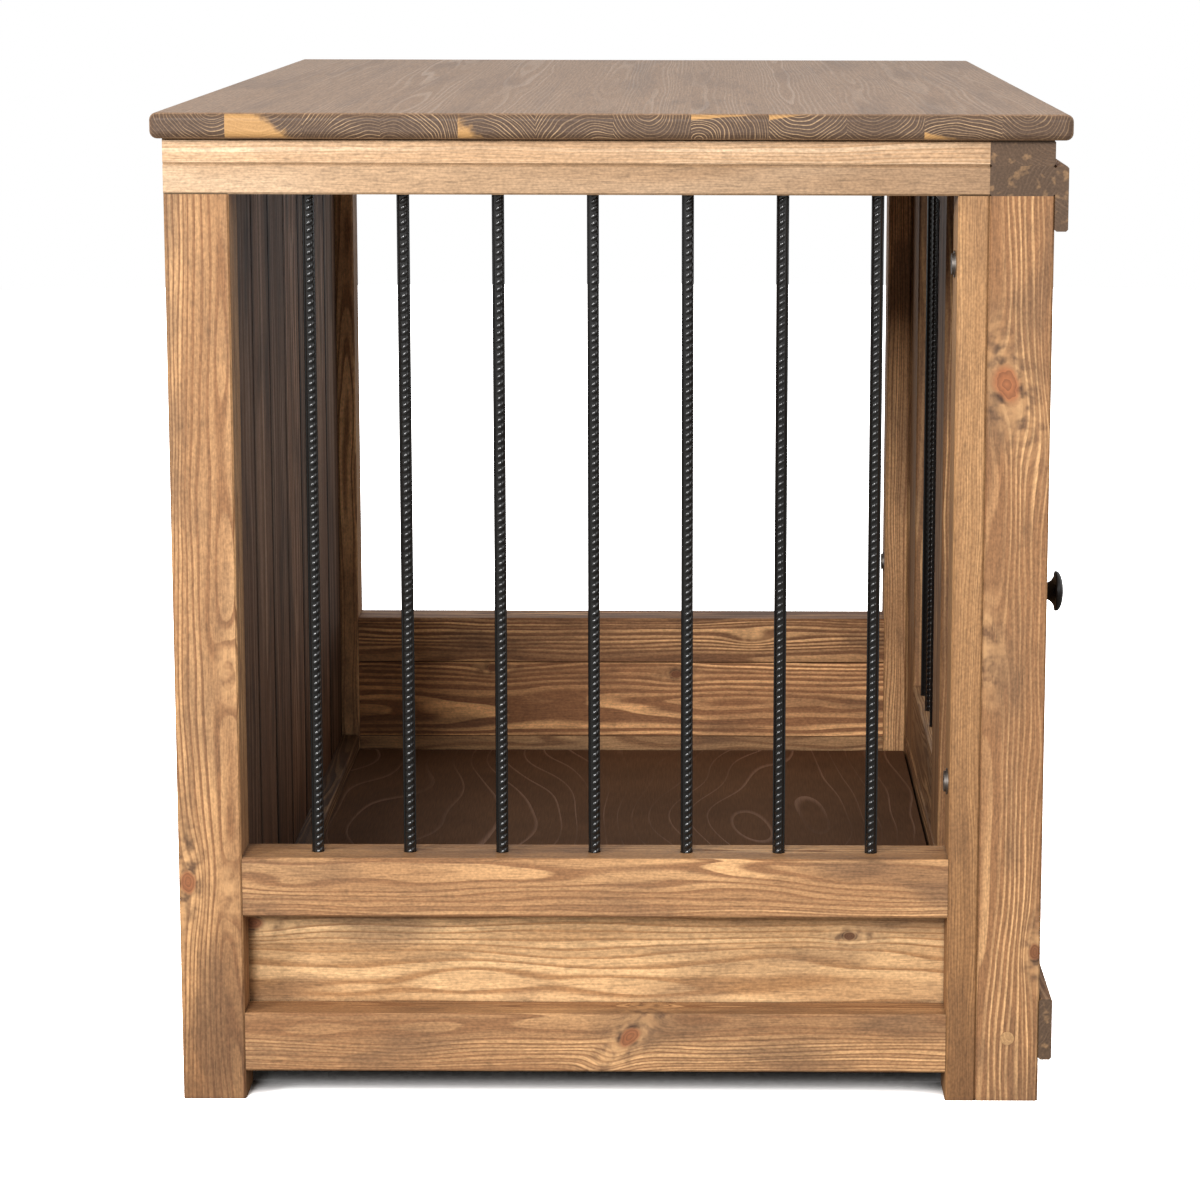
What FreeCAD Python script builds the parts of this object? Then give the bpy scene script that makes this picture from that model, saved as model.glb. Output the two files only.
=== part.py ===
"""Pet crate of planed pine with ribbed steel bars, a boarded back and two sliding barred doors.

The frame is four square legs under two stacked courses of laths and an overhanging glued top.
The near end is barred, the far end is left open above its low panel, the back is boarded and the
front has two barred doors that pass each other in grooved rails.

Working axes, in millimetres: X runs from the boarded back (0) to the door front, Y from the near
end (0) to the far end, Z up from the floor. The finished pieces are moved so that the origin lies
under the middle of the crate's bounding box.
"""
import math
import os

import FreeCAD
import Part

# Main frame
BODY_DEPTH = 655.0
BODY_LENGTH = 1038.0
LEG_SIDE = 48.0
LEG_HEIGHT = 692.0
LEG_STUB_SIDE = 24.0
LEG_STUB_HEIGHT = 12.0
INNER_POST_WIDTH = 23.0
EDGE_EASE = 1.5

# Courses of laths on the legs, and the top
TOP_RAIL_HEIGHT = 22.0
UPPER_LATH_HEIGHT = 19.0
TABLE_THICKNESS = 19.0
TABLE_OVERHANG = 12.0
TABLE_BACK_OVERHANG = 8.0
TABLE_EDGE_ROUND = 3.0

# Rails between the legs
RAIL_SIDE = 46.0
RAIL_TENON_LENGTH = 14.0
RAIL_TENON_THICKNESS = 16.0
RAIL_TENON_HEIGHT = 30.0
GROUND_GAP = 22.0
SILL_TOP = 190.0

# Low panel of each end
PANEL_THICKNESS = 13.0
PANEL_TONGUE_THICKNESS = 5.0
PANEL_TONGUE_LENGTH = 8.0

# Ribbed steel bars
BAR_DIAMETER = 8.0
BAR_RIB_WIDTH = 1.4
BAR_RIB_HEIGHT = 0.6
BAR_HOLE_CLEARANCE = 0.1
BAR_COUNT = 7
BAR_BACK_ROOM = 55.8
BAR_FRONT_ROOM = 57.8
BAR_SILL_DEPTH = 15.0
BAR_TOP_DEPTH = 12.0
DOOR_BAR_COUNT = 4
DOOR_BAR_ROOM = 43.0
DOOR_BAR_DEPTH = 12.0

# Boarded back
BOARD_COVER = 118.0
BOARD_THICKNESS = 16.0
BOARD_SETBACK = 14.0
BOARD_TONGUE_THICKNESS = 5.0
BOARD_TONGUE_LENGTH = 6.0
BOARD_TONGUE_CLEARANCE = 0.2
BOARD_V_DEPTH = 3.0
BOARD_HOUSING_DEPTH = 8.0

# Floor
FLOOR_THICKNESS = 9.0
FLOOR_TOP = 53.0
FLOOR_END_GAP = 1.0
FLOOR_DOOR_GAP = 3.0
CLEAT_SIDE = 20.0
CLEAT_END_ROOM = 14.0

# Sliding doors and their tracks
DOOR_THICKNESS = 19.0
DOOR_INNER_SETBACK = 1.5
DOOR_PASSING_GAP = 5.5
DOOR_SIDE_GAP = 3.0
DOOR_EDGE_GAP = 2.0
DOOR_OVERLAP = 52.0
DOOR_STILE_WIDTH = 96.0
DOOR_TOP_RAIL_HEIGHT = 46.0
DOOR_BOTTOM_RAIL_HEIGHT = 71.0
DOOR_TENON_LENGTH = 15.0
DOOR_TENON_THICKNESS = 7.0
DOOR_TENON_SHOULDER = 10.0
RUNNER_WIDTH = 8.0
RUNNER_SIDE_CLEARANCE = 0.8
RUNNER_FLOAT = 0.4
RUNNER_LIFT = 3.0
TRACK_BOTTOM_DEPTH = 8.0
TRACK_TOP_DEPTH = 12.0

# Knob of the outer door
KNOB_HEIGHT = 380.0
KNOB_RIM_DIAMETER = 31.0
KNOB_NECK_DIAMETER = 12.0
KNOB_BASE_DIAMETER = 17.0
KNOB_BASE_THICKNESS = 2.0
KNOB_NECK_LENGTH = 11.0
KNOB_RIM_DISTANCE = 19.5
KNOB_PROJECTION = 24.5
KNOB_RIM_THICKNESS = 1.5
KNOB_DOME_STEPS = 5
KNOB_DOWEL_DIAMETER = 6.0
KNOB_DOWEL_LENGTH = 12.0

# Fascia laths in front of the doors
FASCIA_THICKNESS = 10.0
FASCIA_HEIGHT = 48.0
BOTTOM_FASCIA_GAP = 33.0

# Fastenings
BOLT_SILL_ROOM = 56.0
BOLT_TOP_ROOM = 52.0
BOLT_HEAD_DIAMETER = 16.0
BOLT_HEAD_HEIGHT = 1.8
BOLT_SOCKET_ACROSS = 4.0
BOLT_SOCKET_DEPTH = 1.2
BOLT_SHANK_DIAMETER = 6.0
BOLT_LEG_DEPTH = 30.0
WASHER_DIAMETER = 20.0
WASHER_THICKNESS = 1.0
HIDDEN_BORE_SIDES = 8
PLUG_DIAMETER = 10.5
PLUG_DEPTH = 8.0
PLUG_PROUD = 0.4
PLUG_RISE = 5.0

ENDS = ("near", "far")
AXIS_X = FreeCAD.Vector(1, 0, 0)
AXIS_Y = FreeCAD.Vector(0, 1, 0)
AXIS_Z = FreeCAD.Vector(0, 0, 1)

# Spans worked out from the sizes above, each as (low, high)
BACK_LEG_X = (0.0, LEG_SIDE)
FRONT_LEG_X = (BODY_DEPTH - LEG_SIDE, BODY_DEPTH)
INNER_POST_X = (FRONT_LEG_X[0] - INNER_POST_WIDTH, FRONT_LEG_X[0])
END_SPAN_X = (BACK_LEG_X[1], INNER_POST_X[0])
END_TOP_X = (0.0, FRONT_LEG_X[0])
SIDE_SPAN_Y = (LEG_SIDE, BODY_LENGTH - LEG_SIDE)
TOP_RAIL_Z = (LEG_HEIGHT, LEG_HEIGHT + TOP_RAIL_HEIGHT)
UPPER_LATH_Z = (TOP_RAIL_Z[1], TOP_RAIL_Z[1] + UPPER_LATH_HEIGHT)
TABLE_Z = (UPPER_LATH_Z[1], UPPER_LATH_Z[1] + TABLE_THICKNESS)
RAIL_INSET = (LEG_SIDE - RAIL_SIDE) / 2
RAIL_IN_LEG = (RAIL_INSET, RAIL_INSET + RAIL_SIDE)
BOTTOM_RAIL_Z = (GROUND_GAP, GROUND_GAP + RAIL_SIDE)
SILL_Z = (SILL_TOP - RAIL_SIDE, SILL_TOP)
PANEL_DEPTH = (RAIL_IN_LEG[1] - PANEL_THICKNESS, RAIL_IN_LEG[1])
FRONT_RAIL_X = (FRONT_LEG_X[0] + RAIL_IN_LEG[0], FRONT_LEG_X[0] + RAIL_IN_LEG[1])
BOARD_X = (BOARD_SETBACK, BOARD_SETBACK + BOARD_THICKNESS)
BOARD_Z = (BOTTOM_RAIL_Z[1] - BOARD_HOUSING_DEPTH, LEG_HEIGHT + BOARD_HOUSING_DEPTH)
FLOOR_Z = (FLOOR_TOP - FLOOR_THICKNESS, FLOOR_TOP)
CLEAT_Z = (FLOOR_Z[0] - CLEAT_SIDE, FLOOR_Z[0])

# Doors: the inner one stands at the far end, the outer one at the near end
INNER_DOOR_X = (FRONT_LEG_X[0] + DOOR_INNER_SETBACK, FRONT_LEG_X[0] + DOOR_INNER_SETBACK + DOOR_THICKNESS)
OUTER_DOOR_X = (INNER_DOOR_X[1] + DOOR_PASSING_GAP, INNER_DOOR_X[1] + DOOR_PASSING_GAP + DOOR_THICKNESS)
DOOR_ROOM_Y = (SIDE_SPAN_Y[0] + DOOR_SIDE_GAP, SIDE_SPAN_Y[1] - DOOR_SIDE_GAP)
DOOR_WIDTH = (DOOR_ROOM_Y[1] - DOOR_ROOM_Y[0] + DOOR_OVERLAP) / 2
OUTER_DOOR_Y = (DOOR_ROOM_Y[0], DOOR_ROOM_Y[0] + DOOR_WIDTH)
INNER_DOOR_Y = (DOOR_ROOM_Y[1] - DOOR_WIDTH, DOOR_ROOM_Y[1])
DOOR_Z = (BOTTOM_RAIL_Z[1] + DOOR_EDGE_GAP, LEG_HEIGHT - DOOR_EDGE_GAP)
RUNNER_Z = (BOTTOM_RAIL_Z[1] - TRACK_BOTTOM_DEPTH + RUNNER_FLOAT, LEG_HEIGHT + TRACK_TOP_DEPTH - RUNNER_LIFT)

# The origin lies under the middle of the bounding box
KNOB_TIP_X = OUTER_DOOR_X[1] + KNOB_PROJECTION
LOW_X = -TABLE_BACK_OVERHANG
HIGH_X = max(KNOB_TIP_X, BODY_DEPTH + max(TABLE_OVERHANG, FASCIA_THICKNESS))
ORIGIN_SHIFT = FreeCAD.Vector(-(LOW_X + HIGH_X) / 2, -BODY_LENGTH / 2, 0)


def middle(span):
    """Middle of a (low, high) span."""
    return (span[0] + span[1]) / 2


def about(centre, width):
    """Span of the given width about a centre."""
    return (centre - width / 2, centre + width / 2)


def grown(span, low, high):
    """Span lengthened by low at its low end and by high at its high end."""
    return (span[0] - low, span[1] + high)


def at_end(end, span):
    """Span in Y measured from the outer face of the named end."""
    if end == "near":
        return span
    return (BODY_LENGTH - span[1], BODY_LENGTH - span[0])


def box(x_span, y_span, z_span):
    """Box between the ends of three spans."""
    corner = FreeCAD.Vector(x_span[0], y_span[0], z_span[0])
    return Part.makeBox(x_span[1] - x_span[0], y_span[1] - y_span[0], z_span[1] - z_span[0], corner)


def rod(diameter, start, direction, length):
    """Round rod from a start point along a direction."""
    return Part.makeCylinder(diameter / 2, length, start, direction)


def timber(x_span, y_span, z_span, grain):
    """Planed batten with its four long edges, those along the grain, eased by a small flat."""
    piece = box(x_span, y_span, z_span)
    long_edges = []
    for edge in piece.Edges:
        run = edge.Vertexes[1].Point - edge.Vertexes[0].Point
        if run.cross(grain).Length < 1e-6:
            long_edges.append(edge)
    return piece.makeChamfer(EDGE_EASE, long_edges)


def end_tenon(x_span, y_span, z_span):
    """Both stub tenons of a rail that runs along X."""
    reach = grown(x_span, RAIL_TENON_LENGTH, RAIL_TENON_LENGTH)
    return box(reach, about(middle(y_span), RAIL_TENON_THICKNESS), about(middle(z_span), RAIL_TENON_HEIGHT))


def side_tenon(x_span, y_span, z_span):
    """Both stub tenons of a rail that runs along Y."""
    reach = grown(y_span, RAIL_TENON_LENGTH, RAIL_TENON_LENGTH)
    return box(about(middle(x_span), RAIL_TENON_THICKNESS), reach, about(middle(z_span), RAIL_TENON_HEIGHT))


def end_rail_spans(end, z_span):
    """Spans of a rail between a back leg and an inner post."""
    return END_SPAN_X, at_end(end, RAIL_IN_LEG), z_span


def back_rail_spans():
    """Spans of the rail under the boarded back."""
    return RAIL_IN_LEG, SIDE_SPAN_Y, BOTTOM_RAIL_Z


def front_rail_spans():
    """Spans of the rail under the doors."""
    return FRONT_RAIL_X, SIDE_SPAN_Y, BOTTOM_RAIL_Z


def leg_stub(x_span, end):
    """Stub on top of a leg, housed in the lath above."""
    middle_y = middle(at_end(end, (0.0, LEG_SIDE)))
    stub_z = (LEG_HEIGHT, LEG_HEIGHT + LEG_STUB_HEIGHT)
    return box(about(middle(x_span), LEG_STUB_SIDE), about(middle_y, LEG_STUB_SIDE), stub_z)


def bar_rows():
    """X of each bar of the near end, evenly spread between the first and the last."""
    row = grown(END_SPAN_X, -BAR_BACK_ROOM, -BAR_FRONT_ROOM)
    pitch = (row[1] - row[0]) / (BAR_COUNT - 1)
    return [row[0] + index * pitch for index in range(BAR_COUNT)]


def regular_prism(sides, across_flats, start, direction, length):
    """Prism on a regular polygon whose flats lie the given distance apart."""
    radius = across_flats / 2 / math.cos(math.pi / sides)
    across = direction.cross(AXIS_Y) if direction.cross(AXIS_Y).Length > 0 else AXIS_X
    turn = FreeCAD.Rotation(direction, 360 / sides)
    arm = FreeCAD.Rotation(direction, 180 / sides).multVec(across * radius)
    corners = []
    for _ in range(sides):
        corners.append(start + arm)
        arm = turn.multVec(arm)
    return Part.Face(Part.makePolygon(corners + corners[:1])).extrude(direction * length)


def bar_seat(x, y, z_span):
    """Blind seat for one bar, wide enough for its ribs and many-sided to save facets."""
    across = BAR_DIAMETER + 2 * BAR_RIB_HEIGHT + 2 * BAR_HOLE_CLEARANCE
    start = FreeCAD.Vector(x, y, z_span[0])
    return regular_prism(HIDDEN_BORE_SIDES, across, start, AXIS_Z, z_span[1] - z_span[0])


def ribbed_bar(x, y, z_span, rib_axis):
    """Steel bar with its two lengthwise ribs on opposite sides."""
    core = rod(BAR_DIAMETER, FreeCAD.Vector(x, y, z_span[0]), AXIS_Z, z_span[1] - z_span[0])
    across = about(0.0, BAR_DIAMETER + 2 * BAR_RIB_HEIGHT)
    thin = about(0.0, BAR_RIB_WIDTH)
    if rib_axis == AXIS_X:
        ribs = box(across, thin, z_span)
    else:
        ribs = box(thin, across, z_span)
    ribs.translate(FreeCAD.Vector(x, y, 0))
    return core.fuse(ribs).removeSplitter()


def bolt_places():
    """Name of the end and height of each assembly bolt."""
    heights = (SILL_TOP + BOLT_SILL_ROOM, LEG_HEIGHT - BOLT_TOP_ROOM)
    return [(end, height) for end in ENDS for height in heights]


def bolt_shank(end, height):
    """Shank of an assembly bolt, through an inner post into its front leg, many-sided as its bore."""
    start = FreeCAD.Vector(INNER_POST_X[0], middle(at_end(end, (0.0, LEG_SIDE))), height)
    reach = INNER_POST_WIDTH + BOLT_LEG_DEPTH
    return regular_prism(HIDDEN_BORE_SIDES, BOLT_SHANK_DIAMETER, start, AXIS_X, reach)


def plug(end, proud):
    """Round plug over the screw that holds the front bottom rail, set into a front leg's end face."""
    height = middle(BOTTOM_RAIL_Z) + PLUG_RISE
    place_y = at_end(end, (-proud, PLUG_DEPTH))
    start = FreeCAD.Vector(middle(FRONT_RAIL_X), place_y[0], height)
    return rod(PLUG_DIAMETER, start, AXIS_Y, place_y[1] - place_y[0])


def back_leg(end):
    """Square leg at the boarded back, mortised for its two end rails and the back rail."""
    leg = timber(BACK_LEG_X, at_end(end, (0.0, LEG_SIDE)), (0.0, LEG_HEIGHT), AXIS_Z)
    leg = leg.fuse(leg_stub(BACK_LEG_X, end))
    for z_span in (BOTTOM_RAIL_Z, SILL_Z):
        leg = leg.cut(end_tenon(*end_rail_spans(end, z_span)))
    return leg.cut(side_tenon(*back_rail_spans()))


def front_leg(end):
    """Square leg at the door front, bored for its bolts and plug and mortised for the front rail."""
    leg = timber(FRONT_LEG_X, at_end(end, (0.0, LEG_SIDE)), (0.0, LEG_HEIGHT), AXIS_Z)
    leg = leg.fuse(leg_stub(FRONT_LEG_X, end))
    leg = leg.cut(side_tenon(*front_rail_spans()))
    for bolt_end, height in bolt_places():
        if bolt_end == end:
            leg = leg.cut(bolt_shank(end, height))
    return leg.cut(plug(end, 0.0))


def inner_post(end):
    """Narrow post that closes an end frame against its front leg."""
    post = timber(INNER_POST_X, at_end(end, (0.0, LEG_SIDE)), (0.0, LEG_HEIGHT), AXIS_Z)
    for z_span in (BOTTOM_RAIL_Z, SILL_Z):
        post = post.cut(end_tenon(*end_rail_spans(end, z_span)))
    for bolt_end, height in bolt_places():
        if bolt_end == end:
            post = post.cut(bolt_shank(end, height))
    return post


def end_top_rail(end):
    """Lath across the tops of an end's back leg and inner post."""
    y_span = at_end(end, (0.0, LEG_SIDE))
    rail = timber(END_TOP_X, y_span, TOP_RAIL_Z, AXIS_X)
    rail = rail.cut(leg_stub(BACK_LEG_X, end))
    if end == "near":
        for x in bar_rows():
            rail = rail.cut(bar_seat(x, middle(y_span), (LEG_HEIGHT, LEG_HEIGHT + BAR_TOP_DEPTH)))
    return rail


def end_upper_lath(end):
    """Second lath of an end, under the top."""
    return timber(END_TOP_X, at_end(end, (0.0, LEG_SIDE)), UPPER_LATH_Z, AXIS_X)


def panel_tongue(end, z_span):
    """Tongue of an end panel in one of its rails."""
    thickness = about(middle(at_end(end, PANEL_DEPTH)), PANEL_TONGUE_THICKNESS)
    return box(END_SPAN_X, thickness, z_span)


def end_sill(end):
    """Rail above an end panel, bored for the bars at the barred end."""
    spans = end_rail_spans(end, SILL_Z)
    rail = timber(*spans, AXIS_X).fuse(end_tenon(*spans))
    rail = rail.cut(panel_tongue(end, (SILL_Z[0], SILL_Z[0] + PANEL_TONGUE_LENGTH)))
    if end == "near":
        for x in bar_rows():
            rail = rail.cut(bar_seat(x, middle(spans[1]), (SILL_TOP - BAR_SILL_DEPTH, SILL_TOP)))
    return rail


def end_bottom_rail(end):
    """Rail below an end panel."""
    spans = end_rail_spans(end, BOTTOM_RAIL_Z)
    rail = timber(*spans, AXIS_X).fuse(end_tenon(*spans))
    return rail.cut(panel_tongue(end, (BOTTOM_RAIL_Z[1] - PANEL_TONGUE_LENGTH, BOTTOM_RAIL_Z[1])))


def end_panel(end):
    """Low board of an end, flush with the inner faces of its rails and tongued into them."""
    board = box(END_SPAN_X, at_end(end, PANEL_DEPTH), (BOTTOM_RAIL_Z[1], SILL_Z[0]))
    tongue_z = grown((BOTTOM_RAIL_Z[1], SILL_Z[0]), PANEL_TONGUE_LENGTH, PANEL_TONGUE_LENGTH)
    return board.fuse(panel_tongue(end, tongue_z)).removeSplitter()


def near_end_bar(x):
    """One bar of the barred end, seated in its sill and top rail."""
    y = middle(at_end("near", RAIL_IN_LEG))
    return ribbed_bar(x, y, (SILL_TOP - BAR_SILL_DEPTH, LEG_HEIGHT + BAR_TOP_DEPTH), AXIS_X)


def board_housing(z_span):
    """Groove that houses the ends of the back boards."""
    return box(BOARD_X, SIDE_SPAN_Y, z_span)


def back_bottom_rail():
    """Rail between the back legs, grooved for the boards that stand on it."""
    spans = back_rail_spans()
    rail = timber(*spans, AXIS_Y).fuse(side_tenon(*spans))
    return rail.cut(board_housing((BOARD_Z[0], BOTTOM_RAIL_Z[1])))


def back_top_rail():
    """Lath along the back, grooved for the tops of the boards."""
    rail = timber(BACK_LEG_X, SIDE_SPAN_Y, TOP_RAIL_Z, AXIS_Y)
    return rail.cut(board_housing((LEG_HEIGHT, BOARD_Z[1])))


def back_upper_lath():
    """Second lath along the back, under the top."""
    return timber(BACK_LEG_X, SIDE_SPAN_Y, UPPER_LATH_Z, AXIS_Y)


def board_edges():
    """Y of the joints between the back boards, with both outer edges."""
    clear = SIDE_SPAN_Y[1] - SIDE_SPAN_Y[0]
    count = max(1, round(clear / BOARD_COVER))
    return [SIDE_SPAN_Y[0] + index * clear / count for index in range(count + 1)]


def back_board(low_y, high_y, first, last):
    """Tongued and grooved board with a V on its inner edges."""
    outer_x, inner_x = BOARD_X
    tongue_x = about(middle(BOARD_X), BOARD_TONGUE_THICKNESS)
    groove_x = about(middle(BOARD_X), BOARD_TONGUE_THICKNESS + 2 * BOARD_TONGUE_CLEARANCE)
    tongue_y = high_y + BOARD_TONGUE_LENGTH
    groove_y = low_y + BOARD_TONGUE_LENGTH + BOARD_TONGUE_CLEARANCE
    outline = [(outer_x, low_y), (outer_x, high_y)]
    if not last:
        outline += [(tongue_x[0], high_y), (tongue_x[0], tongue_y)]
        outline += [(tongue_x[1], tongue_y), (tongue_x[1], high_y)]
    outline += [(inner_x - BOARD_V_DEPTH, high_y), (inner_x, high_y - BOARD_V_DEPTH)]
    outline += [(inner_x, low_y + BOARD_V_DEPTH), (inner_x - BOARD_V_DEPTH, low_y)]
    if not first:
        outline += [(groove_x[1], low_y), (groove_x[1], groove_y)]
        outline += [(groove_x[0], groove_y), (groove_x[0], low_y)]
    points = [FreeCAD.Vector(x, y, BOARD_Z[0]) for x, y in outline]
    face = Part.Face(Part.makePolygon(points + points[:1]))
    return face.extrude(AXIS_Z * (BOARD_Z[1] - BOARD_Z[0]))


def track_groove(door_x, z_span):
    """Groove in a rail for one door's runner."""
    width = RUNNER_WIDTH + 2 * RUNNER_SIDE_CLEARANCE
    return box(about(middle(door_x), width), SIDE_SPAN_Y, z_span)


def front_bottom_rail():
    """Rail under the doors with a runner groove for each of them."""
    spans = front_rail_spans()
    rail = timber(*spans, AXIS_Y).fuse(side_tenon(*spans))
    for door_x in (INNER_DOOR_X, OUTER_DOOR_X):
        rail = rail.cut(track_groove(door_x, (BOTTOM_RAIL_Z[1] - TRACK_BOTTOM_DEPTH, BOTTOM_RAIL_Z[1])))
    return rail


def front_top_rail():
    """Lath over the front legs with a runner groove for each door."""
    rail = timber(FRONT_LEG_X, (0.0, BODY_LENGTH), TOP_RAIL_Z, AXIS_Y)
    for end in ENDS:
        rail = rail.cut(leg_stub(FRONT_LEG_X, end))
    for door_x in (INNER_DOOR_X, OUTER_DOOR_X):
        rail = rail.cut(track_groove(door_x, (LEG_HEIGHT, LEG_HEIGHT + TRACK_TOP_DEPTH)))
    return rail


def front_upper_lath():
    """Second lath along the front, under the top."""
    return timber(FRONT_LEG_X, (0.0, BODY_LENGTH), UPPER_LATH_Z, AXIS_Y)


def front_fascia(z_span):
    """Thin lath along the front faces of the legs that hides a track."""
    return timber((BODY_DEPTH, BODY_DEPTH + FASCIA_THICKNESS), (0.0, BODY_LENGTH), z_span, AXIS_Y)


def floor_board():
    """Plywood floor between the rails."""
    x_span = (RAIL_IN_LEG[1], FRONT_RAIL_X[0] - FLOOR_DOOR_GAP)
    return box(x_span, grown(SIDE_SPAN_Y, -FLOOR_END_GAP, -FLOOR_END_GAP), FLOOR_Z)


def floor_cleat_end(end):
    """Cleat on an end's bottom rail that carries the floor."""
    x_span = grown(END_SPAN_X, -CLEAT_END_ROOM - CLEAT_SIDE, -CLEAT_END_ROOM - CLEAT_SIDE)
    return timber(x_span, at_end(end, (RAIL_IN_LEG[1], RAIL_IN_LEG[1] + CLEAT_SIDE)), CLEAT_Z, AXIS_X)


def floor_cleat_side(x_span):
    """Cleat on the back or the front bottom rail that carries the floor."""
    return timber(x_span, grown(SIDE_SPAN_Y, -CLEAT_END_ROOM, -CLEAT_END_ROOM), CLEAT_Z, AXIS_Y)


def table_top():
    """Glued top, overhanging all round, with its upper edges and its corners rounded."""
    x_span = grown((0.0, BODY_DEPTH), TABLE_BACK_OVERHANG, TABLE_OVERHANG)
    y_span = grown((0.0, BODY_LENGTH), TABLE_OVERHANG, TABLE_OVERHANG)
    board = box(x_span, y_span, TABLE_Z)
    edges = [edge for edge in board.Edges if edge.BoundBox.ZMax > TABLE_Z[1] - TABLE_EDGE_ROUND]
    return board.makeFillet(TABLE_EDGE_ROUND, edges)


def assembly_bolt(end, height):
    """Socket bolt with its washer, from the inside of an inner post."""
    y = middle(at_end(end, (0.0, LEG_SIDE)))
    washer_x = INNER_POST_X[0] - WASHER_THICKNESS
    head_x = washer_x - BOLT_HEAD_HEIGHT
    washer = rod(WASHER_DIAMETER, FreeCAD.Vector(washer_x, y, height), AXIS_X, WASHER_THICKNESS)
    head = rod(BOLT_HEAD_DIAMETER, FreeCAD.Vector(head_x, y, height), AXIS_X, BOLT_HEAD_HEIGHT)
    socket_start = FreeCAD.Vector(head_x, y, height)
    socket = regular_prism(6, BOLT_SOCKET_ACROSS, socket_start, AXIS_X, BOLT_SOCKET_DEPTH)
    return head.cut(socket).fuse([washer, bolt_shank(end, height)]).removeSplitter()


def runner(door_x, y_span):
    """Tongue along the bottom and top edges of a door piece, as one tall strip."""
    return box(about(middle(door_x), RUNNER_WIDTH), y_span, RUNNER_Z)


def door_rail_heights():
    """Z spans of a door's bottom and top rails."""
    bottom = (DOOR_Z[0], DOOR_Z[0] + DOOR_BOTTOM_RAIL_HEIGHT)
    top = (DOOR_Z[1] - DOOR_TOP_RAIL_HEIGHT, DOOR_Z[1])
    return bottom, top


def door_tenon(door_x, door_y, z_span):
    """Both tenons of a door rail in its stiles."""
    rail_y = grown(door_y, -DOOR_STILE_WIDTH, -DOOR_STILE_WIDTH)
    reach = grown(rail_y, DOOR_TENON_LENGTH, DOOR_TENON_LENGTH)
    return box(about(middle(door_x), DOOR_TENON_THICKNESS), reach, grown(z_span, -DOOR_TENON_SHOULDER,
                                                                          -DOOR_TENON_SHOULDER))


def door_stile(door_x, door_y, side):
    """Upright of a door frame, with its runners at both ends."""
    if side == "near":
        y_span = (door_y[0], door_y[0] + DOOR_STILE_WIDTH)
    else:
        y_span = (door_y[1] - DOOR_STILE_WIDTH, door_y[1])
    stile = timber(door_x, y_span, DOOR_Z, AXIS_Z).fuse(runner(door_x, y_span)).removeSplitter()
    for z_span in door_rail_heights():
        stile = stile.cut(door_tenon(door_x, door_y, z_span))
    return stile


def door_bar_rows(door_y):
    """Y of each bar of a door, spread evenly between the rooms left beside its stiles."""
    reach = DOOR_STILE_WIDTH + DOOR_BAR_ROOM
    first, last = grown(door_y, -reach, -reach)
    return [first + index * (last - first) / (DOOR_BAR_COUNT - 1) for index in range(DOOR_BAR_COUNT)]


def door_bar_span():
    """Z span of a door's bars, from seat to seat."""
    bottom, top = door_rail_heights()
    return (bottom[1] - DOOR_BAR_DEPTH, top[0] + DOOR_BAR_DEPTH)


def door_rail(door_x, door_y, place):
    """Bottom or top rail of a door, with its runner, tenons and bar holes."""
    bottom, top = door_rail_heights()
    y_span = grown(door_y, -DOOR_STILE_WIDTH, -DOOR_STILE_WIDTH)
    bar_z = door_bar_span()
    if place == "bottom":
        z_span = bottom
        runner_z = (RUNNER_Z[0], bottom[1] - DOOR_TENON_SHOULDER)
        hole_z = (bar_z[0], bottom[1])
    else:
        z_span = top
        runner_z = (top[0] + DOOR_TENON_SHOULDER, RUNNER_Z[1])
        hole_z = (top[0], bar_z[1])
    strip = box(about(middle(door_x), RUNNER_WIDTH), y_span, runner_z)
    rail = timber(door_x, y_span, z_span, AXIS_Y).fuse([strip, door_tenon(door_x, door_y, z_span)])
    for y in door_bar_rows(door_y):
        rail = rail.cut(bar_seat(middle(door_x), y, hole_z))
    return rail.removeSplitter()


def door_bars(door_x, door_y):
    """All bars of a door, as separate solids."""
    return Part.makeCompound([ribbed_bar(middle(door_x), y, door_bar_span(), AXIS_Y)
                              for y in door_bar_rows(door_y)])


def knob_place():
    """Point on the outer door's front face where its knob stands."""
    return FreeCAD.Vector(OUTER_DOOR_X[1], OUTER_DOOR_Y[0] + DOOR_STILE_WIDTH / 2, KNOB_HEIGHT)


def knob_dowel():
    """Dowel of the knob, let into the stile behind it."""
    return rod(KNOB_DOWEL_DIAMETER, knob_place(), -AXIS_X, KNOB_DOWEL_LENGTH)


def knob():
    """Turned mushroom knob: a small foot, a slim neck and a cap whose dome is turned in straight steps."""
    foot = KNOB_BASE_DIAMETER / 2
    neck = KNOB_NECK_DIAMETER / 2
    rim = KNOB_RIM_DIAMETER / 2
    dome_height = KNOB_PROJECTION - KNOB_RIM_DISTANCE
    dome_radius = (rim ** 2 + dome_height ** 2) / (2 * dome_height)
    dome_turn = math.asin(rim / dome_radius)
    outline = [(0.0, 0.0), (0.0, foot), (KNOB_BASE_THICKNESS, foot), (KNOB_BASE_THICKNESS, neck)]
    outline += [(KNOB_NECK_LENGTH, neck), (KNOB_RIM_DISTANCE - KNOB_RIM_THICKNESS, rim)]
    for step in range(KNOB_DOME_STEPS):
        turn = dome_turn * (1 - step / KNOB_DOME_STEPS)
        along = KNOB_PROJECTION - dome_radius * (1 - math.cos(turn))
        outline.append((along, dome_radius * math.sin(turn)))
    outline.append((KNOB_PROJECTION, 0.0))
    points = [FreeCAD.Vector(along, radius, 0) for along, radius in outline]
    cap = Part.Face(Part.makePolygon(points + points[:1])).revolve(FreeCAD.Vector(0, 0, 0), AXIS_X, 360)
    cap.translate(knob_place())
    return cap.fuse(knob_dowel()).removeSplitter()


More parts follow.
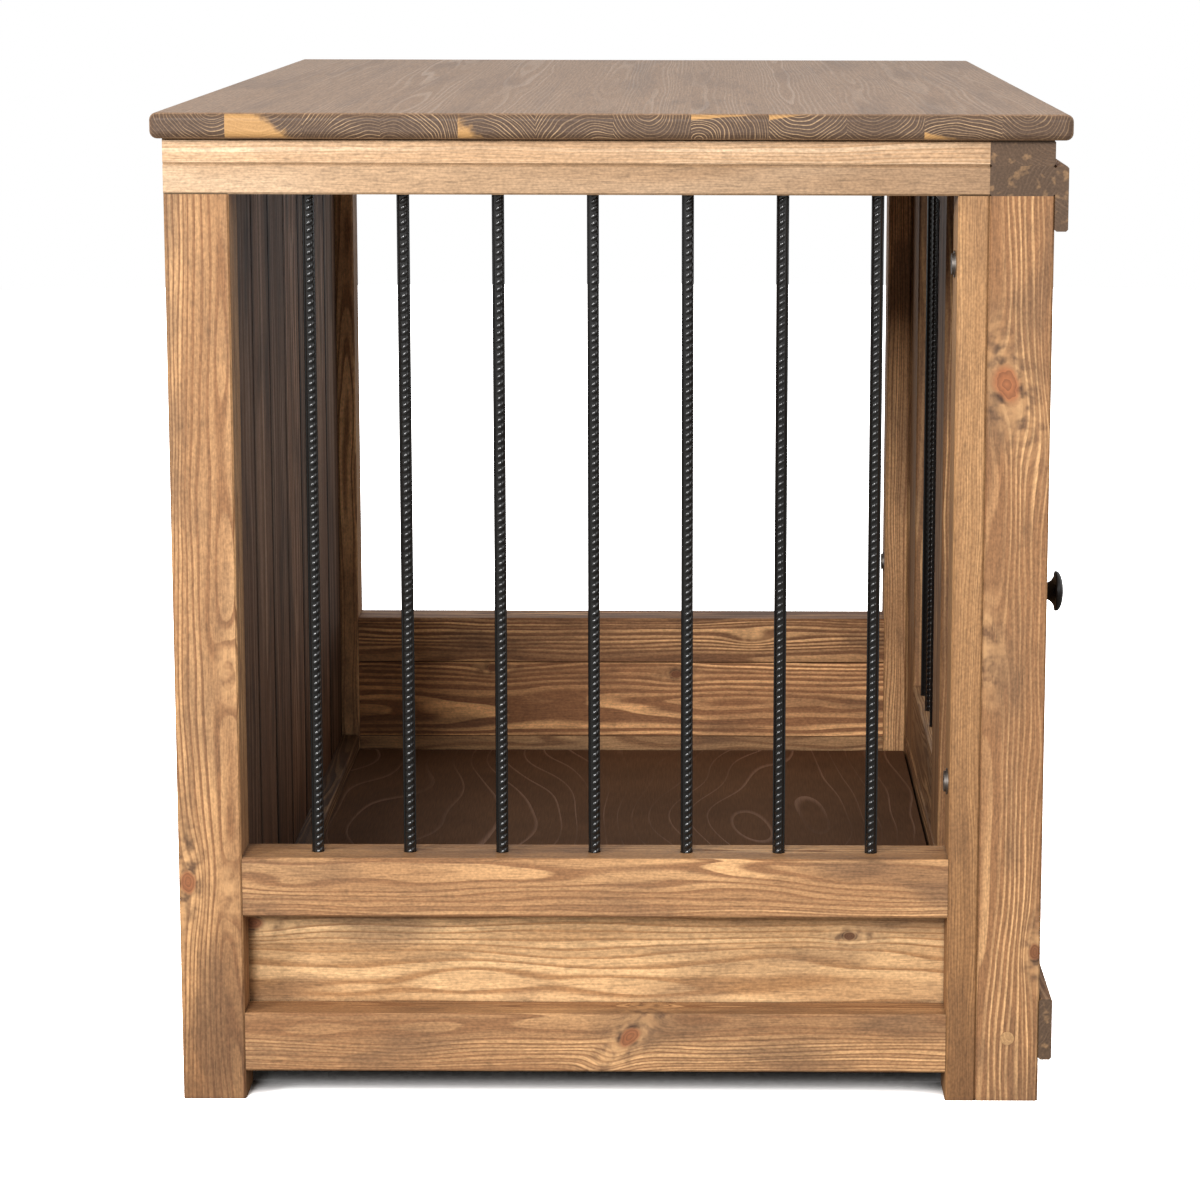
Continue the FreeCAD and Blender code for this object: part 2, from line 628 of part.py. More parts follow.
def frame_pieces():
    """Every fixed piece, by name."""
    pieces = {}
    for end in ENDS:
        pieces[f"back_leg_{end}"] = back_leg(end)
        pieces[f"front_leg_{end}"] = front_leg(end)
        pieces[f"inner_post_{end}"] = inner_post(end)
        pieces[f"{end}_end_top_rail"] = end_top_rail(end)
        pieces[f"{end}_end_upper_lath"] = end_upper_lath(end)
        pieces[f"{end}_end_sill"] = end_sill(end)
        pieces[f"{end}_end_bottom_rail"] = end_bottom_rail(end)
        pieces[f"{end}_end_panel"] = end_panel(end)
        pieces[f"floor_cleat_{end}"] = floor_cleat_end(end)
    for number, x in enumerate(bar_rows(), 1):
        pieces[f"near_end_bar_{number}"] = near_end_bar(x)
    edges = board_edges()
    for number in range(1, len(edges)):
        first = number == 1
        last = number == len(edges) - 1
        pieces[f"back_board_{number}"] = back_board(edges[number - 1], edges[number], first, last)
    pieces["back_bottom_rail"] = back_bottom_rail()
    pieces["back_top_rail"] = back_top_rail()
    pieces["back_upper_lath"] = back_upper_lath()
    pieces["front_bottom_rail"] = front_bottom_rail()
    pieces["front_top_rail"] = front_top_rail()
    pieces["front_upper_lath"] = front_upper_lath()
    pieces["front_top_fascia"] = front_fascia((TOP_RAIL_Z[1] - FASCIA_HEIGHT, TOP_RAIL_Z[1]))
    pieces["front_bottom_fascia"] = front_fascia((BOTTOM_FASCIA_GAP, BOTTOM_FASCIA_GAP + FASCIA_HEIGHT))
    pieces["floor_board"] = floor_board()
    pieces["floor_cleat_back"] = floor_cleat_side((RAIL_IN_LEG[1], RAIL_IN_LEG[1] + CLEAT_SIDE))
    pieces["floor_cleat_front"] = floor_cleat_side((FRONT_RAIL_X[0] - CLEAT_SIDE, FRONT_RAIL_X[0]))
    pieces["table_top"] = table_top()
    pieces["assembly_bolts"] = Part.makeCompound([assembly_bolt(*place) for place in bolt_places()])
    pieces["leg_plugs"] = Part.makeCompound([plug(end, PLUG_PROUD) for end in ENDS])
    return pieces


def door_pieces(name, door_x, door_y):
    """Every piece of one door, by name."""
    pieces = {}
    for side in ENDS:
        pieces[f"{name}_{side}_stile"] = door_stile(door_x, door_y, side)
    for place in ("bottom", "top"):
        pieces[f"{name}_{place}_rail"] = door_rail(door_x, door_y, place)
    pieces[f"{name}_bars"] = door_bars(door_x, door_y)
    return pieces


def build():
    """All pieces of the crate in its own frame."""
    pieces = frame_pieces()
    outer = door_pieces("outer_door", OUTER_DOOR_X, OUTER_DOOR_Y)
    outer["outer_door_near_stile"] = outer["outer_door_near_stile"].cut(knob_dowel())
    outer["outer_door_knob"] = knob()
    inner = door_pieces("inner_door", INNER_DOOR_X, INNER_DOOR_Y)
    pieces.update(outer)
    pieces.update(inner)
    for piece in pieces.values():
        piece.translate(ORIGIN_SHIFT)
    return pieces


os.makedirs("parts", exist_ok=True)
for node, shape in build().items():
    shape.exportStep(f"parts/{node}.step")
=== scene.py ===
# %% [markdown]
# # A barred pet crate in stained pine
#
# The crate is a small side table that a dog lives in: square pine legs, two courses of laths, a dark
# glued top, a boarded back, a low panel at each end and ribbed steel bars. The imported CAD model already
# has every timber, joint and sliding door in its true place, so nothing structural is built again here.
# Blender adds what the eye reads: the grain of each timber, the stain, the ribs of the bars, the knob's
# smooth turning, the top's rounded edges, and a white studio to see them in.

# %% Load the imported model
import math
import random

import bmesh
import bpy
from mathutils import Euler, Matrix, Vector


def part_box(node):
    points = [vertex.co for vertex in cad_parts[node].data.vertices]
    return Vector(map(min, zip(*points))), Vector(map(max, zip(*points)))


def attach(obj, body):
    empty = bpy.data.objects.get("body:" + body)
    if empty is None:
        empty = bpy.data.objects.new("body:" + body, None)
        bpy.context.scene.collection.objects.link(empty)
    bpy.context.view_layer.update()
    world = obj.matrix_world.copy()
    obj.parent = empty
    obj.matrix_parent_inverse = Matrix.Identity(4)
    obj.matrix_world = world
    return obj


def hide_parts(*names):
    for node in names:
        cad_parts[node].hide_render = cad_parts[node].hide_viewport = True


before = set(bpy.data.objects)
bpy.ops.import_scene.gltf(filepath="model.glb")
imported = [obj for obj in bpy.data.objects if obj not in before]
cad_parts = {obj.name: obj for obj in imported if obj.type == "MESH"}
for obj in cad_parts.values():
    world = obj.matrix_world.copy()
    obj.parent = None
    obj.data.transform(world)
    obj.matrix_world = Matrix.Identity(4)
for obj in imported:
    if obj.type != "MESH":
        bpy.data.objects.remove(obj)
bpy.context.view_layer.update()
scene = bpy.context.scene
scene.view_settings.view_transform = "Standard"
MM = 0.001

# %% [markdown]
# ## A few helpers
#
# Every finish below is a tree of nodes. Clicking them together in the editor and writing them in a
# script come to the same, so one small function adds a node, sets its properties and fills its sockets
# with values or links. Colours are written as sRGB hex, as a colour picker shows them, and a second
# function turns them into the linear light that shaders work in. Two more start an empty material and
# put an object into the scene.

# %% Node and colour helpers
def add(tree, kind, inputs=None, **settings):
    """Adds a node to a tree, sets its properties, and fills its sockets by value or by link.

    A node given for a socket is linked from its first output.
    """
    node = tree.nodes.new(kind)
    for name, value in settings.items():
        setattr(node, name, value)
    for socket, value in (inputs or {}).items():
        if isinstance(value, bpy.types.Node):
            value = value.outputs[0]
        if isinstance(value, bpy.types.NodeSocket):
            tree.links.new(value, node.inputs[socket])
        else:
            node.inputs[socket].default_value = value
    return node


def linear(code):
    """Linear RGBA of an sRGB hex colour."""
    channels = [int(code[start:start + 2], 16) / 255 for start in (1, 3, 5)]
    return tuple(c / 12.92 if c <= 0.04045 else ((c + 0.055) / 1.055) ** 2.4 for c in channels) + (1.0,)


def blank_material(name):
    """New material with an empty node tree, and that tree."""
    material = bpy.data.materials.new(name)
    material.use_nodes = True
    material.node_tree.nodes.clear()
    return material, material.node_tree


def put(name, data):
    """New object with the given data, linked into the scene."""
    item = bpy.data.objects.new(name, data)
    scene.collection.objects.link(item)
    return item


# Sockets of the colour Mix node, which shares its names with the node's other data types
MIX_FACTOR, MIX_A, MIX_B, MIX_RESULT = 0, 6, 7, 2
# The kinds of node that are used most
MATH, VECTOR, RANGE = "ShaderNodeMath", "ShaderNodeVectorMath", "ShaderNodeMapRange"
MIX, NOISE = "ShaderNodeMix", "ShaderNodeTexNoise"
print("mid grey #808080 is", round(linear("#808080")[0], 3), "in linear light")

# %% [markdown]
# ## Camera
#
# The crate is seen end on, from a little above and from far off, so its long sides close in only
# slightly. The camera's place and lens were fitted to the straight edges of the crate, and the picture
# is a crop whose optical axis lies right of the middle, which is what the camera's shift is for.

# %% Camera
IMAGE_SIDE = 1200
FOCAL_LENGTH_PIXELS = 3729.5
AXIS_COLUMN = 688.3
SENSOR_WIDTH = 36.0
CAMERA_PLACE = Vector((0.0579, -3.2655, 0.8912))
CAMERA_PITCH = math.radians(10.34)
CAMERA_YAW = math.radians(-0.12)
CAMERA_ROLL = math.radians(0.13)

forward = Vector((math.sin(CAMERA_YAW), math.cos(CAMERA_YAW), 0)) * math.cos(CAMERA_PITCH)
forward.z = -math.sin(CAMERA_PITCH)
level = Vector((math.cos(CAMERA_YAW), -math.sin(CAMERA_YAW), 0))
upright = level.cross(forward)
right = level * math.cos(CAMERA_ROLL) + upright * math.sin(CAMERA_ROLL)
upward = upright * math.cos(CAMERA_ROLL) - level * math.sin(CAMERA_ROLL)

camera_data = bpy.data.cameras.new("studio_camera")
camera_data.sensor_width = SENSOR_WIDTH
camera_data.lens = SENSOR_WIDTH * FOCAL_LENGTH_PIXELS / IMAGE_SIDE
camera_data.shift_x = 0.5 - AXIS_COLUMN / IMAGE_SIDE
camera = put("studio_camera", camera_data)
camera_turn = Matrix((right, upward, -forward)).transposed()
camera.matrix_world = Matrix.Translation(CAMERA_PLACE) @ camera_turn.to_4x4()
scene.camera = camera
print("lens", round(camera_data.lens, 1), "mm, shift", round(camera_data.shift_x, 4))

# %% [markdown]
# ## Studio
#
# The crate stands on white paper in soft light. A paper floor lit at a plain level would come out grey,
# and more light would bleach the pine. So the surroundings are white only to the camera and to glossy
# reflections, which Light Path tells apart, and light the crate at their own, lower level. The floor is
# still a matt surface that gathers shadow. For the camera it is a brighter white, which keeps the deep
# shadow close under the rails and lets it fade out a hand's width in front of them.

# %% Surroundings and floor
AMBIENT_LEVEL = 0.52
FLOOR_RADIUS = 6.0
FLOOR_SIDES = 64
PAPER = linear("#f2f1ef")
PAPER_BOUNCE = linear("#8d8b87")
SHADOW_REACH = 0.30
SHADED, OPEN = 0.03, 0.46
SHADED_WHITENESS, OPEN_WHITENESS = 0.04, 6.5
SHADOW_SAMPLES = 32

world = bpy.data.worlds.new("studio")
scene.world = world
world.use_nodes = True
tree = world.node_tree
tree.nodes.clear()
rays = add(tree, "ShaderNodeLightPath").outputs
seen = add(tree, MATH, {0: rays["Is Camera Ray"], 1: rays["Is Glossy Ray"]}, operation="ADD")
seen = add(tree, MATH, {0: seen, 1: rays["Is Transmission Ray"]}, operation="ADD", use_clamp=True)
ambient = add(tree, "ShaderNodeBackground", {"Color": PAPER, "Strength": AMBIENT_LEVEL})
backdrop = add(tree, "ShaderNodeBackground", {"Color": linear("#ffffff"), "Strength": 1.0})
sky = add(tree, "ShaderNodeMixShader", {0: seen, 1: ambient, 2: backdrop})
add(tree, "ShaderNodeOutputWorld", {"Surface": sky})

paper, tree = blank_material("white_paper")
rays = add(tree, "ShaderNodeLightPath").outputs
matt = add(tree, "ShaderNodeBsdfDiffuse", {"Color": PAPER_BOUNCE})
openness = add(tree, "ShaderNodeAmbientOcclusion", {"Distance": SHADOW_REACH}, samples=SHADOW_SAMPLES)
white = add(tree, RANGE, {"Value": openness.outputs["AO"], "From Min": SHADED, "From Max": OPEN,
                          "To Min": SHADED_WHITENESS, "To Max": OPEN_WHITENESS})
bright = add(tree, "ShaderNodeBsdfDiffuse", {"Color": white})
sheet = add(tree, "ShaderNodeMixShader", {0: rays["Is Camera Ray"], 1: matt, 2: bright})
add(tree, "ShaderNodeOutputMaterial", {"Surface": sheet})

floor_mesh = bpy.data.meshes.new("paper_floor")
shape = bmesh.new()
bmesh.ops.create_circle(shape, cap_ends=True, segments=FLOOR_SIDES, radius=FLOOR_RADIUS)
shape.to_mesh(floor_mesh)
shape.free()
floor_mesh.materials.append(paper)
floor = put("paper_floor", floor_mesh)
print("paper floor", 2 * FLOOR_RADIUS, "m across, ambient level", AMBIENT_LEVEL)

# %% [markdown]
# ## Lamps
#
# The light reaches deep into the crate and lies almost evenly on its end, so the main lamp is a softbox
# far behind the camera, a little to its left and higher. A second one on the left models the back leg
# and puts flecks of light on the ribs of the bars. A wide, weak one on the right keeps the door side
# from going flat.

# %% Softboxes
LAMPS = {
    "key_softbox": {"place": (-1.53, -7.7, 2.85), "side": 1.6, "power": 490.0},
    "left_softbox": {"place": (-2.6, -2.7, 1.6), "side": 0.9, "power": 66.0},
    "right_softbox": {"place": (2.6, -2.2, 1.6), "side": 1.6, "power": 22.0},
}
LAMP_AIM = Vector((0.0, -0.3, 0.40))

for name, lamp in LAMPS.items():
    light = bpy.data.lights.new(name, "AREA")
    light.size = lamp["side"]
    light.energy = lamp["power"]
    holder = put(name, light)
    holder.location = lamp["place"]
    holder.rotation_euler = (LAMP_AIM - holder.location).to_track_quat("-Z", "Y").to_euler()
    print(name, "at", lamp["place"], lamp["power"], "W")

# %% [markdown]
# ## The inside of a pine trunk
#
# Grain is the cut face of a tree's rings, so the truest way to draw it is to model the rings and let
# each face of the timber cut them. The group below measures how far a point lies from the pith, the
# tree's middle line, and counts rings from that. Slow noise, long along the grain, bends the rings so
# that flat cuts show flames. In softwood the stain sinks into the soft early wood and hardly into the
# hard late wood, so the late wood of each ring stays as a pale line with one sharp edge, clear in some
# stretches and almost lost in others. On a sawn end every pore drinks stain, and only thin pale arcs are
# left. A painted grain picture could not turn the corner from a face to its end like this.

# %% Rings of stained pine as a node group
NOISES = {
    # Millimetres across the grain, millimetres along it, and detail
    "drift": (46.0, 280.0, 2.0),
    "figure": (38.0, 260.0, 1.0),
    "blotch": (34.0, 120.0, 3.0),
    "fibre": (0.9, 17.0, 2.0),
    "tick": (1.2, 10.0, 0.0),
    "speckle": (1.7, 2.6, 1.0),
    "scuff": (8.0, 8.0, 2.0),
}
DRIFT = 20.0
UNEVEN_RINGS = 2.4
UNEVEN_EVERY = 5.0
RISE_TO_LATE_WOOD = 0.34
LATE_WOOD_END = (0.92, 1.0)
LATE_LINE_ON_ENDS = (0.64, 0.92)
FAINTEST = 0.35
CLEAR_FIGURE = (0.38, 0.60)

pine = bpy.data.node_groups.new("stained_pine_rings", "ShaderNodeTree")
PINE_INPUTS = {
    "Place": "NodeSocketVector", "Ring width": "NodeSocketFloat", "Dark share": "NodeSocketFloat",
    "End grain": "NodeSocketFloat", "Push": "NodeSocketFloat", "Soak": "NodeSocketFloat",
    "Scuffs": "NodeSocketFloat",
    "Early wood": "NodeSocketColor", "Late wood": "NodeSocketColor", "Deep stain": "NodeSocketColor",
    "End field": "NodeSocketColor", "End line": "NodeSocketColor",
}
for name, kind in PINE_INPUTS.items():
    pine.interface.new_socket(name, in_out="INPUT", socket_type=kind)
PINE_OUTPUTS = {"Color": "NodeSocketColor", "Late": "NodeSocketFloat", "Height": "NodeSocketFloat"}
for name, kind in PINE_OUTPUTS.items():
    pine.interface.new_socket(name, in_out="OUTPUT", socket_type=kind)

entry = add(pine, "NodeGroupInput").outputs
noise = {}
for name, (across, along, detail) in NOISES.items():
    scaled = add(pine, VECTOR, {0: entry["Place"], 1: (1 / across, 1 / across, 1 / along)},
                 operation="MULTIPLY")
    noise[name] = add(pine, NOISE, {"Vector": scaled, "Scale": 1.0, "Detail": detail})

bend = add(pine, VECTOR, {0: noise["drift"].outputs["Color"], 1: (DRIFT, DRIFT, 0),
                          2: (-DRIFT / 2, -DRIFT / 2, 0)}, operation="MULTIPLY_ADD")
bent = add(pine, VECTOR, {0: entry["Place"], 1: bend}, operation="ADD")
across_pith = add(pine, VECTOR, {0: bent, 1: (1, 1, 0)}, operation="MULTIPLY")
radius = add(pine, VECTOR, {0: across_pith}, operation="LENGTH")
pushed = add(pine, MATH, {0: radius.outputs["Value"], 1: entry["Push"]}, operation="ADD")
rings = add(pine, MATH, {0: pushed, 1: entry["Ring width"]}, operation="DIVIDE")
slow = add(pine, MATH, {0: rings, 1: 1 / UNEVEN_EVERY}, operation="MULTIPLY")
uneven = add(pine, NOISE, {"W": slow, "Scale": 1.0, "Detail": 1.0}, noise_dimensions="1D")
count = add(pine, MATH, {0: uneven, 1: UNEVEN_RINGS, 2: rings}, operation="MULTIPLY_ADD")
phase = add(pine, MATH, {0: count}, operation="FRACT")
year = add(pine, MATH, {0: count}, operation="FLOOR")
chance = add(pine, "ShaderNodeTexWhiteNoise", {"W": year}, noise_dimensions="1D")
vigour = add(pine, RANGE, {"Value": chance.outputs["Value"], "To Min": FAINTEST, "To Max": 1.0})

risen = add(pine, MATH, {0: entry["Dark share"], 1: RISE_TO_LATE_WOOD}, operation="ADD")
rise = add(pine, RANGE, {"Value": phase, "From Min": entry["Dark share"], "From Max": risen},
           interpolation_type="SMOOTHSTEP")
fall = add(pine, RANGE, {"Value": phase, "From Min": LATE_WOOD_END[0], "From Max": LATE_WOOD_END[1],
                         "To Min": 1.0, "To Max": 0.0})
band = add(pine, MATH, {0: rise, 1: fall}, operation="MULTIPLY")
clear = add(pine, RANGE, {"Value": noise["figure"], "From Min": CLEAR_FIGURE[0],
                          "From Max": CLEAR_FIGURE[1], "To Min": FAINTEST, "To Max": 1.0},
            interpolation_type="SMOOTHSTEP")
strength = add(pine, MATH, {0: vigour, 1: clear}, operation="MULTIPLY")
late = add(pine, MATH, {0: band, 1: strength}, operation="MULTIPLY")
thin_rise = add(pine, RANGE, {"Value": phase, "From Min": LATE_LINE_ON_ENDS[0],
                              "From Max": LATE_LINE_ON_ENDS[1]}, interpolation_type="SMOOTHSTEP")
thin = add(pine, MATH, {0: thin_rise, 1: fall}, operation="MULTIPLY")
arc = add(pine, MATH, {0: thin, 1: strength}, operation="MULTIPLY")
print("ring pattern:", len(pine.nodes), "nodes")

# %% [markdown]
# ## Stain on the rings
#
# Brown stain was brushed on and wiped off, so it lies in soft blotches where it soaked in, in short dark
# ticks where the planed pores run out of the surface, and in a fine speckle everywhere. Each of these is
# one of the noises above at its own size, multiplied into the colour of the rings.

# %% Blotches, ticks and sawn ends
BLOTCHES, BLOTCH_DEPTH = (0.46, 0.70), 0.66
MARKS = {
    # Noise from one value to another, and the shade at each of them
    "fibre": (0.30, 0.70, 0.80, 1.16),
    "tick": (0.60, 0.76, 1.0, 0.80),
    "speckle": (0.32, 0.68, 0.84, 1.14),
}
SCUFF_PATCHES = (0.58, 0.70)

figured = add(pine, MIX, {MIX_FACTOR: late, MIX_A: entry["Early wood"], MIX_B: entry["Late wood"]},
              data_type="RGBA")
soak = add(pine, RANGE, {"Value": noise["blotch"], "From Min": BLOTCHES[0], "From Max": BLOTCHES[1],
                         "To Max": BLOTCH_DEPTH}, interpolation_type="SMOOTHSTEP")
soaked = add(pine, MATH, {0: soak, 1: entry["Soak"]}, operation="ADD", use_clamp=True)
stained = add(pine, MIX, {MIX_FACTOR: soaked, MIX_A: figured.outputs[MIX_RESULT],
                          MIX_B: entry["Deep stain"]}, data_type="RGBA")
marks = {}
for name, (start, end, shade, light) in MARKS.items():
    marks[name] = add(pine, RANGE, {"Value": noise[name], "From Min": start, "From Max": end,
                                    "To Min": shade, "To Max": light})
streak = add(pine, MATH, {0: marks["fibre"], 1: marks["tick"]}, operation="MULTIPLY")
grit = add(pine, MATH, {0: streak, 1: marks["speckle"]}, operation="MULTIPLY")
faced = add(pine, VECTOR, {0: stained.outputs[MIX_RESULT], "Scale": grit}, operation="SCALE")
end_rings = add(pine, MIX, {MIX_FACTOR: arc, MIX_A: entry["End field"], MIX_B: entry["End line"]},
                data_type="RGBA")
scuff = add(pine, RANGE, {"Value": noise["scuff"], "From Min": SCUFF_PATCHES[0],
                          "From Max": SCUFF_PATCHES[1], "To Max": entry["Scuffs"]})
scuffed = add(pine, MIX, {MIX_FACTOR: scuff, MIX_A: end_rings.outputs[MIX_RESULT],
                          MIX_B: entry["Late wood"]}, data_type="RGBA")
end_face = add(pine, VECTOR, {0: scuffed.outputs[MIX_RESULT], "Scale": marks["speckle"]},
               operation="SCALE")
wood = add(pine, MIX, {MIX_FACTOR: entry["End grain"], MIX_A: faced, MIX_B: end_face}, data_type="RGBA")
height = add(pine, MATH, {0: late, 1: grit}, operation="ADD")
add(pine, "NodeGroupOutput", {"Color": wood.outputs[MIX_RESULT], "Late": late, "Height": height})
print("stained pine group:", len(pine.nodes), "nodes")

# %% [markdown]
# ## Knots and eyes
#
# A knot is a branch that the trunk grew round: a red-brown disc with its own faint rings and a dark
# skin, and the trunk's rings flow round it like water round a post. Where the saw passes just short of a
# branch there is no disc, only an eye of closed rings. The group returns how far the rings are pushed
# out and the grain is led aside at a point, and how much of the branch, its skin and the soaked grain
# beside it is there.

# %% Knot as a node group
KNOT_LENGTHENING = 0.66
KNOT_RAGGEDNESS = 9.0
SWIRL_ACROSS, SWIRL_ALONG = 0.60, 0.20
PUSH_SHARE = 1.1
KNOT_RINGS = 3.5
FLOW_ASIDE = 0.75
RAGGED_EDGE = 0.5
BRANCH_EDGE = (0.84, 1.24)
SKIN_INSIDE, SKIN_OUTSIDE = (1.02, 1.17), (1.18, 1.36)
SKIN_PATCHES, SKIN_STRENGTH = (0.42, 0.62), (0.10, 0.85)
SOAK_PATCHES = (0.40, 0.66)

knot = bpy.data.node_groups.new("pine_knot", "ShaderNodeTree")
KNOT_INPUTS = {"Place": "NodeSocketVector", "Centre": "NodeSocketVector", "Radius": "NodeSocketFloat",
               "Tilt": "NodeSocketFloat"}
for name, kind in KNOT_INPUTS.items():
    knot.interface.new_socket(name, in_out="INPUT", socket_type=kind)
for name in ("Push", "Branch", "Skin", "Soak", "Halo", "Rings"):
    knot.interface.new_socket(name, in_out="OUTPUT", socket_type="NodeSocketFloat")
knot.interface.new_socket("Flow", in_out="OUTPUT", socket_type="NodeSocketVector")

entry = add(knot, "NodeGroupInput").outputs
offset = add(knot, VECTOR, {0: entry["Place"], 1: entry["Centre"]}, operation="SUBTRACT")
tilted = add(knot, "ShaderNodeVectorRotate", {"Vector": offset, "Angle": entry["Tilt"]},
             rotation_type="Y_AXIS")
ragged_place = add(knot, VECTOR, {0: entry["Place"], "Scale": 1 / KNOT_RAGGEDNESS}, operation="SCALE")
ragged = add(knot, NOISE, {"Vector": ragged_place, "Scale": 1.0, "Detail": 2.0})
round_place = add(knot, VECTOR, {0: tilted, 1: (1, 0, KNOT_LENGTHENING)}, operation="MULTIPLY")
round_away = add(knot, VECTOR, {0: round_place}, operation="LENGTH")
share = add(knot, MATH, {0: round_away.outputs["Value"], 1: entry["Radius"]}, operation="DIVIDE")
share = add(knot, MATH, {0: ragged, 1: RAGGED_EDGE, 2: share}, operation="MULTIPLY_ADD")
branch = add(knot, RANGE, {"Value": share, "From Min": BRANCH_EDGE[0], "From Max": BRANCH_EDGE[1],
                           "To Min": 1.0, "To Max": 0.0})
skin_in = add(knot, RANGE, {"Value": share, "From Min": SKIN_INSIDE[0], "From Max": SKIN_INSIDE[1]})
skin_out = add(knot, RANGE, {"Value": share, "From Min": SKIN_OUTSIDE[0], "From Max": SKIN_OUTSIDE[1],
                             "To Min": 1.0, "To Max": 0.0})
skin_ring = add(knot, MATH, {0: skin_in, 1: skin_out}, operation="MULTIPLY")
skin_part = add(knot, RANGE, {"Value": ragged, "From Min": SKIN_PATCHES[0], "From Max": SKIN_PATCHES[1],
                              "To Min": SKIN_STRENGTH[0], "To Max": SKIN_STRENGTH[1]})
skin = add(knot, MATH, {0: skin_ring, 1: skin_part}, operation="MULTIPLY")
turns = add(knot, MATH, {0: share, 1: KNOT_RINGS}, operation="MULTIPLY")
knot_rings = add(knot, MATH, {0: turns}, operation="FRACT")
swirl_place = add(knot, VECTOR, {0: tilted, 1: (SWIRL_ACROSS, 0, SWIRL_ALONG)}, operation="MULTIPLY")
swirl_away = add(knot, VECTOR, {0: swirl_place}, operation="LENGTH")
swirl_share = add(knot, MATH, {0: swirl_away.outputs["Value"], 1: entry["Radius"]}, operation="DIVIDE")
swirl_square = add(knot, MATH, {0: swirl_share, 1: 2.0}, operation="POWER")
swirl_minus = add(knot, MATH, {0: swirl_square, 1: -1.0}, operation="MULTIPLY")
swirl = add(knot, MATH, {0: swirl_minus}, operation="EXPONENT")
push_size = add(knot, MATH, {0: entry["Radius"], 1: PUSH_SHARE}, operation="MULTIPLY")
push = add(knot, MATH, {0: swirl, 1: push_size}, operation="MULTIPLY")
aside = add(knot, VECTOR, {0: offset, 1: (-FLOW_ASIDE, 0, 0)}, operation="MULTIPLY")
flow = add(knot, VECTOR, {0: aside, "Scale": swirl}, operation="SCALE")
patchy = add(knot, RANGE, {"Value": ragged, "From Min": SOAK_PATCHES[0], "From Max": SOAK_PATCHES[1]})
soak = add(knot, MATH, {0: swirl, 1: patchy}, operation="MULTIPLY")
plain = add(knot, MATH, {0: 1.0, 1: patchy}, operation="SUBTRACT")
halo = add(knot, MATH, {0: swirl, 1: plain}, operation="MULTIPLY")
add(knot, "NodeGroupOutput", {"Push": push, "Branch": branch, "Skin": skin, "Soak": soak, "Halo": halo,
                              "Rings": knot_rings, "Flow": flow})
print("pine knot group:", len(knot.nodes), "nodes")

# %% [markdown]
# ## From group to timber
#
# Each timber is its own piece of tree, so each gets its own material: a Mapping node turns the grain to
# run along the timber, moves the pith to where that piece was sawn from, and counts in millimetres. The
# surface normal tells sawn ends from faces. Some timbers get painted shade, darker towards one end, which
# a Map Range along the timber fades in, and the boards get painted shade along their joints. Painted
# shade also darkens the corners where two timbers meet, which Ambient Occlusion finds within a few
# millimetres. Wax leaves the pine between matt and satin.

# %% Material of one timber
GOLDEN = {"Early wood": "#8c6341", "Late wood": "#d9a976", "Deep stain": "#6d5039",
          "End field": "#5c4736", "End line": "#705743"}
HONEY = {**GOLDEN, "Early wood": "#a0764d", "Late wood": "#e2b987", "Deep stain": "#7f6044"}
CALM = {**GOLDEN, "Early wood": "#aa7e54", "Late wood": "#cf9f6d", "Deep stain": "#8b6646"}
BLEACHED = {**GOLDEN, "Early wood": "#c69f78", "Late wood": "#e9c9a6", "Deep stain": "#c29e7a"}
RUSSET = {**GOLDEN, "Early wood": "#6e4a2f", "Late wood": "#cf9e6c", "Deep stain": "#503623"}
KNOT_RED = "#a2643f"
KNOT_DARK = "#7d4d31"
KNOT_HALO = 0.5
KNOT_COVER = 0.93
KNOT_PUSH = 0.3
KNOT_SOAK = 1.2
END_SCUFFS = 0.25
# Painted shade darkens warm, taking more of the green and the blue: powers of the share that is left
PAINTED_SHADE_TINT = (1.0, 1.22, 1.45)
EYE_SOAK = 0.35
KNOT_SKIN = "#3f2a1e"
GRAIN_TURNS = {
    "X": Euler((0, -math.pi / 2, 0)),
    "Y": Euler((math.pi / 2, 0, 0)),
    "Z": Euler((0, 0, 0)),
}
GRAIN_AXES = {"X": Vector((1, 0, 0)), "Y": Vector((0, 1, 0)), "Z": Vector((0, 0, 1))}
PINE_GLOSS = {"roughness": (0.64, 0.50), "specular": 0.30}
PINE_BUMP = 0.30
PINE_RELIEF = 0.3 * MM
# Painted shade in the corners where two timbers meet: its reach, darkest share, openness and samples
CORNER_REACH = 4 * MM
CORNER_SHADE = 0.36
CORNER_OPENNESS = (0.25, 0.85)
CORNER_SAMPLES = 4
END_FACING = (0.72, 0.95)


def grain_of(node):
    """Letter of a CAD node's longest side, along which its grain runs."""
    low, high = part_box(node)
    sides = high - low
    return "XYZ"[max(range(3), key=lambda axis: sides[axis])]


def waxed(tree, colour, late, height, gloss):
    """Painted shade in corners, gloss and relief of all waxed timbers, ending in the material's output."""
    # Painted shade, darker in the corners where timbers meet, as Ambient Occlusion finds them
    corner = add(tree, "ShaderNodeAmbientOcclusion", {"Distance": CORNER_REACH}, samples=CORNER_SAMPLES)
    painted_corner_shade = add(tree, RANGE, {"Value": corner.outputs["AO"], "From Min": CORNER_OPENNESS[0],
                                 "From Max": CORNER_OPENNESS[1], "To Min": CORNER_SHADE, "To Max": 1.0})
    shaded = add(tree, VECTOR, {0: colour, "Scale": painted_corner_shade}, operation="SCALE")
    rough, smooth = gloss["roughness"]
    roughness = add(tree, RANGE, {"Value": late, "To Min": rough, "To Max": smooth})
    relief = add(tree, "ShaderNodeBump", {"Height": height, "Strength": PINE_BUMP,
                                          "Distance": PINE_RELIEF})
    shader = add(tree, "ShaderNodeBsdfPrincipled", {"Base Color": shaded, "Roughness": roughness,
                                                    "Normal": relief,
                                                    "Specular IOR Level": gloss["specular"]})
    add(tree, "ShaderNodeOutputMaterial", {"Surface": shader})


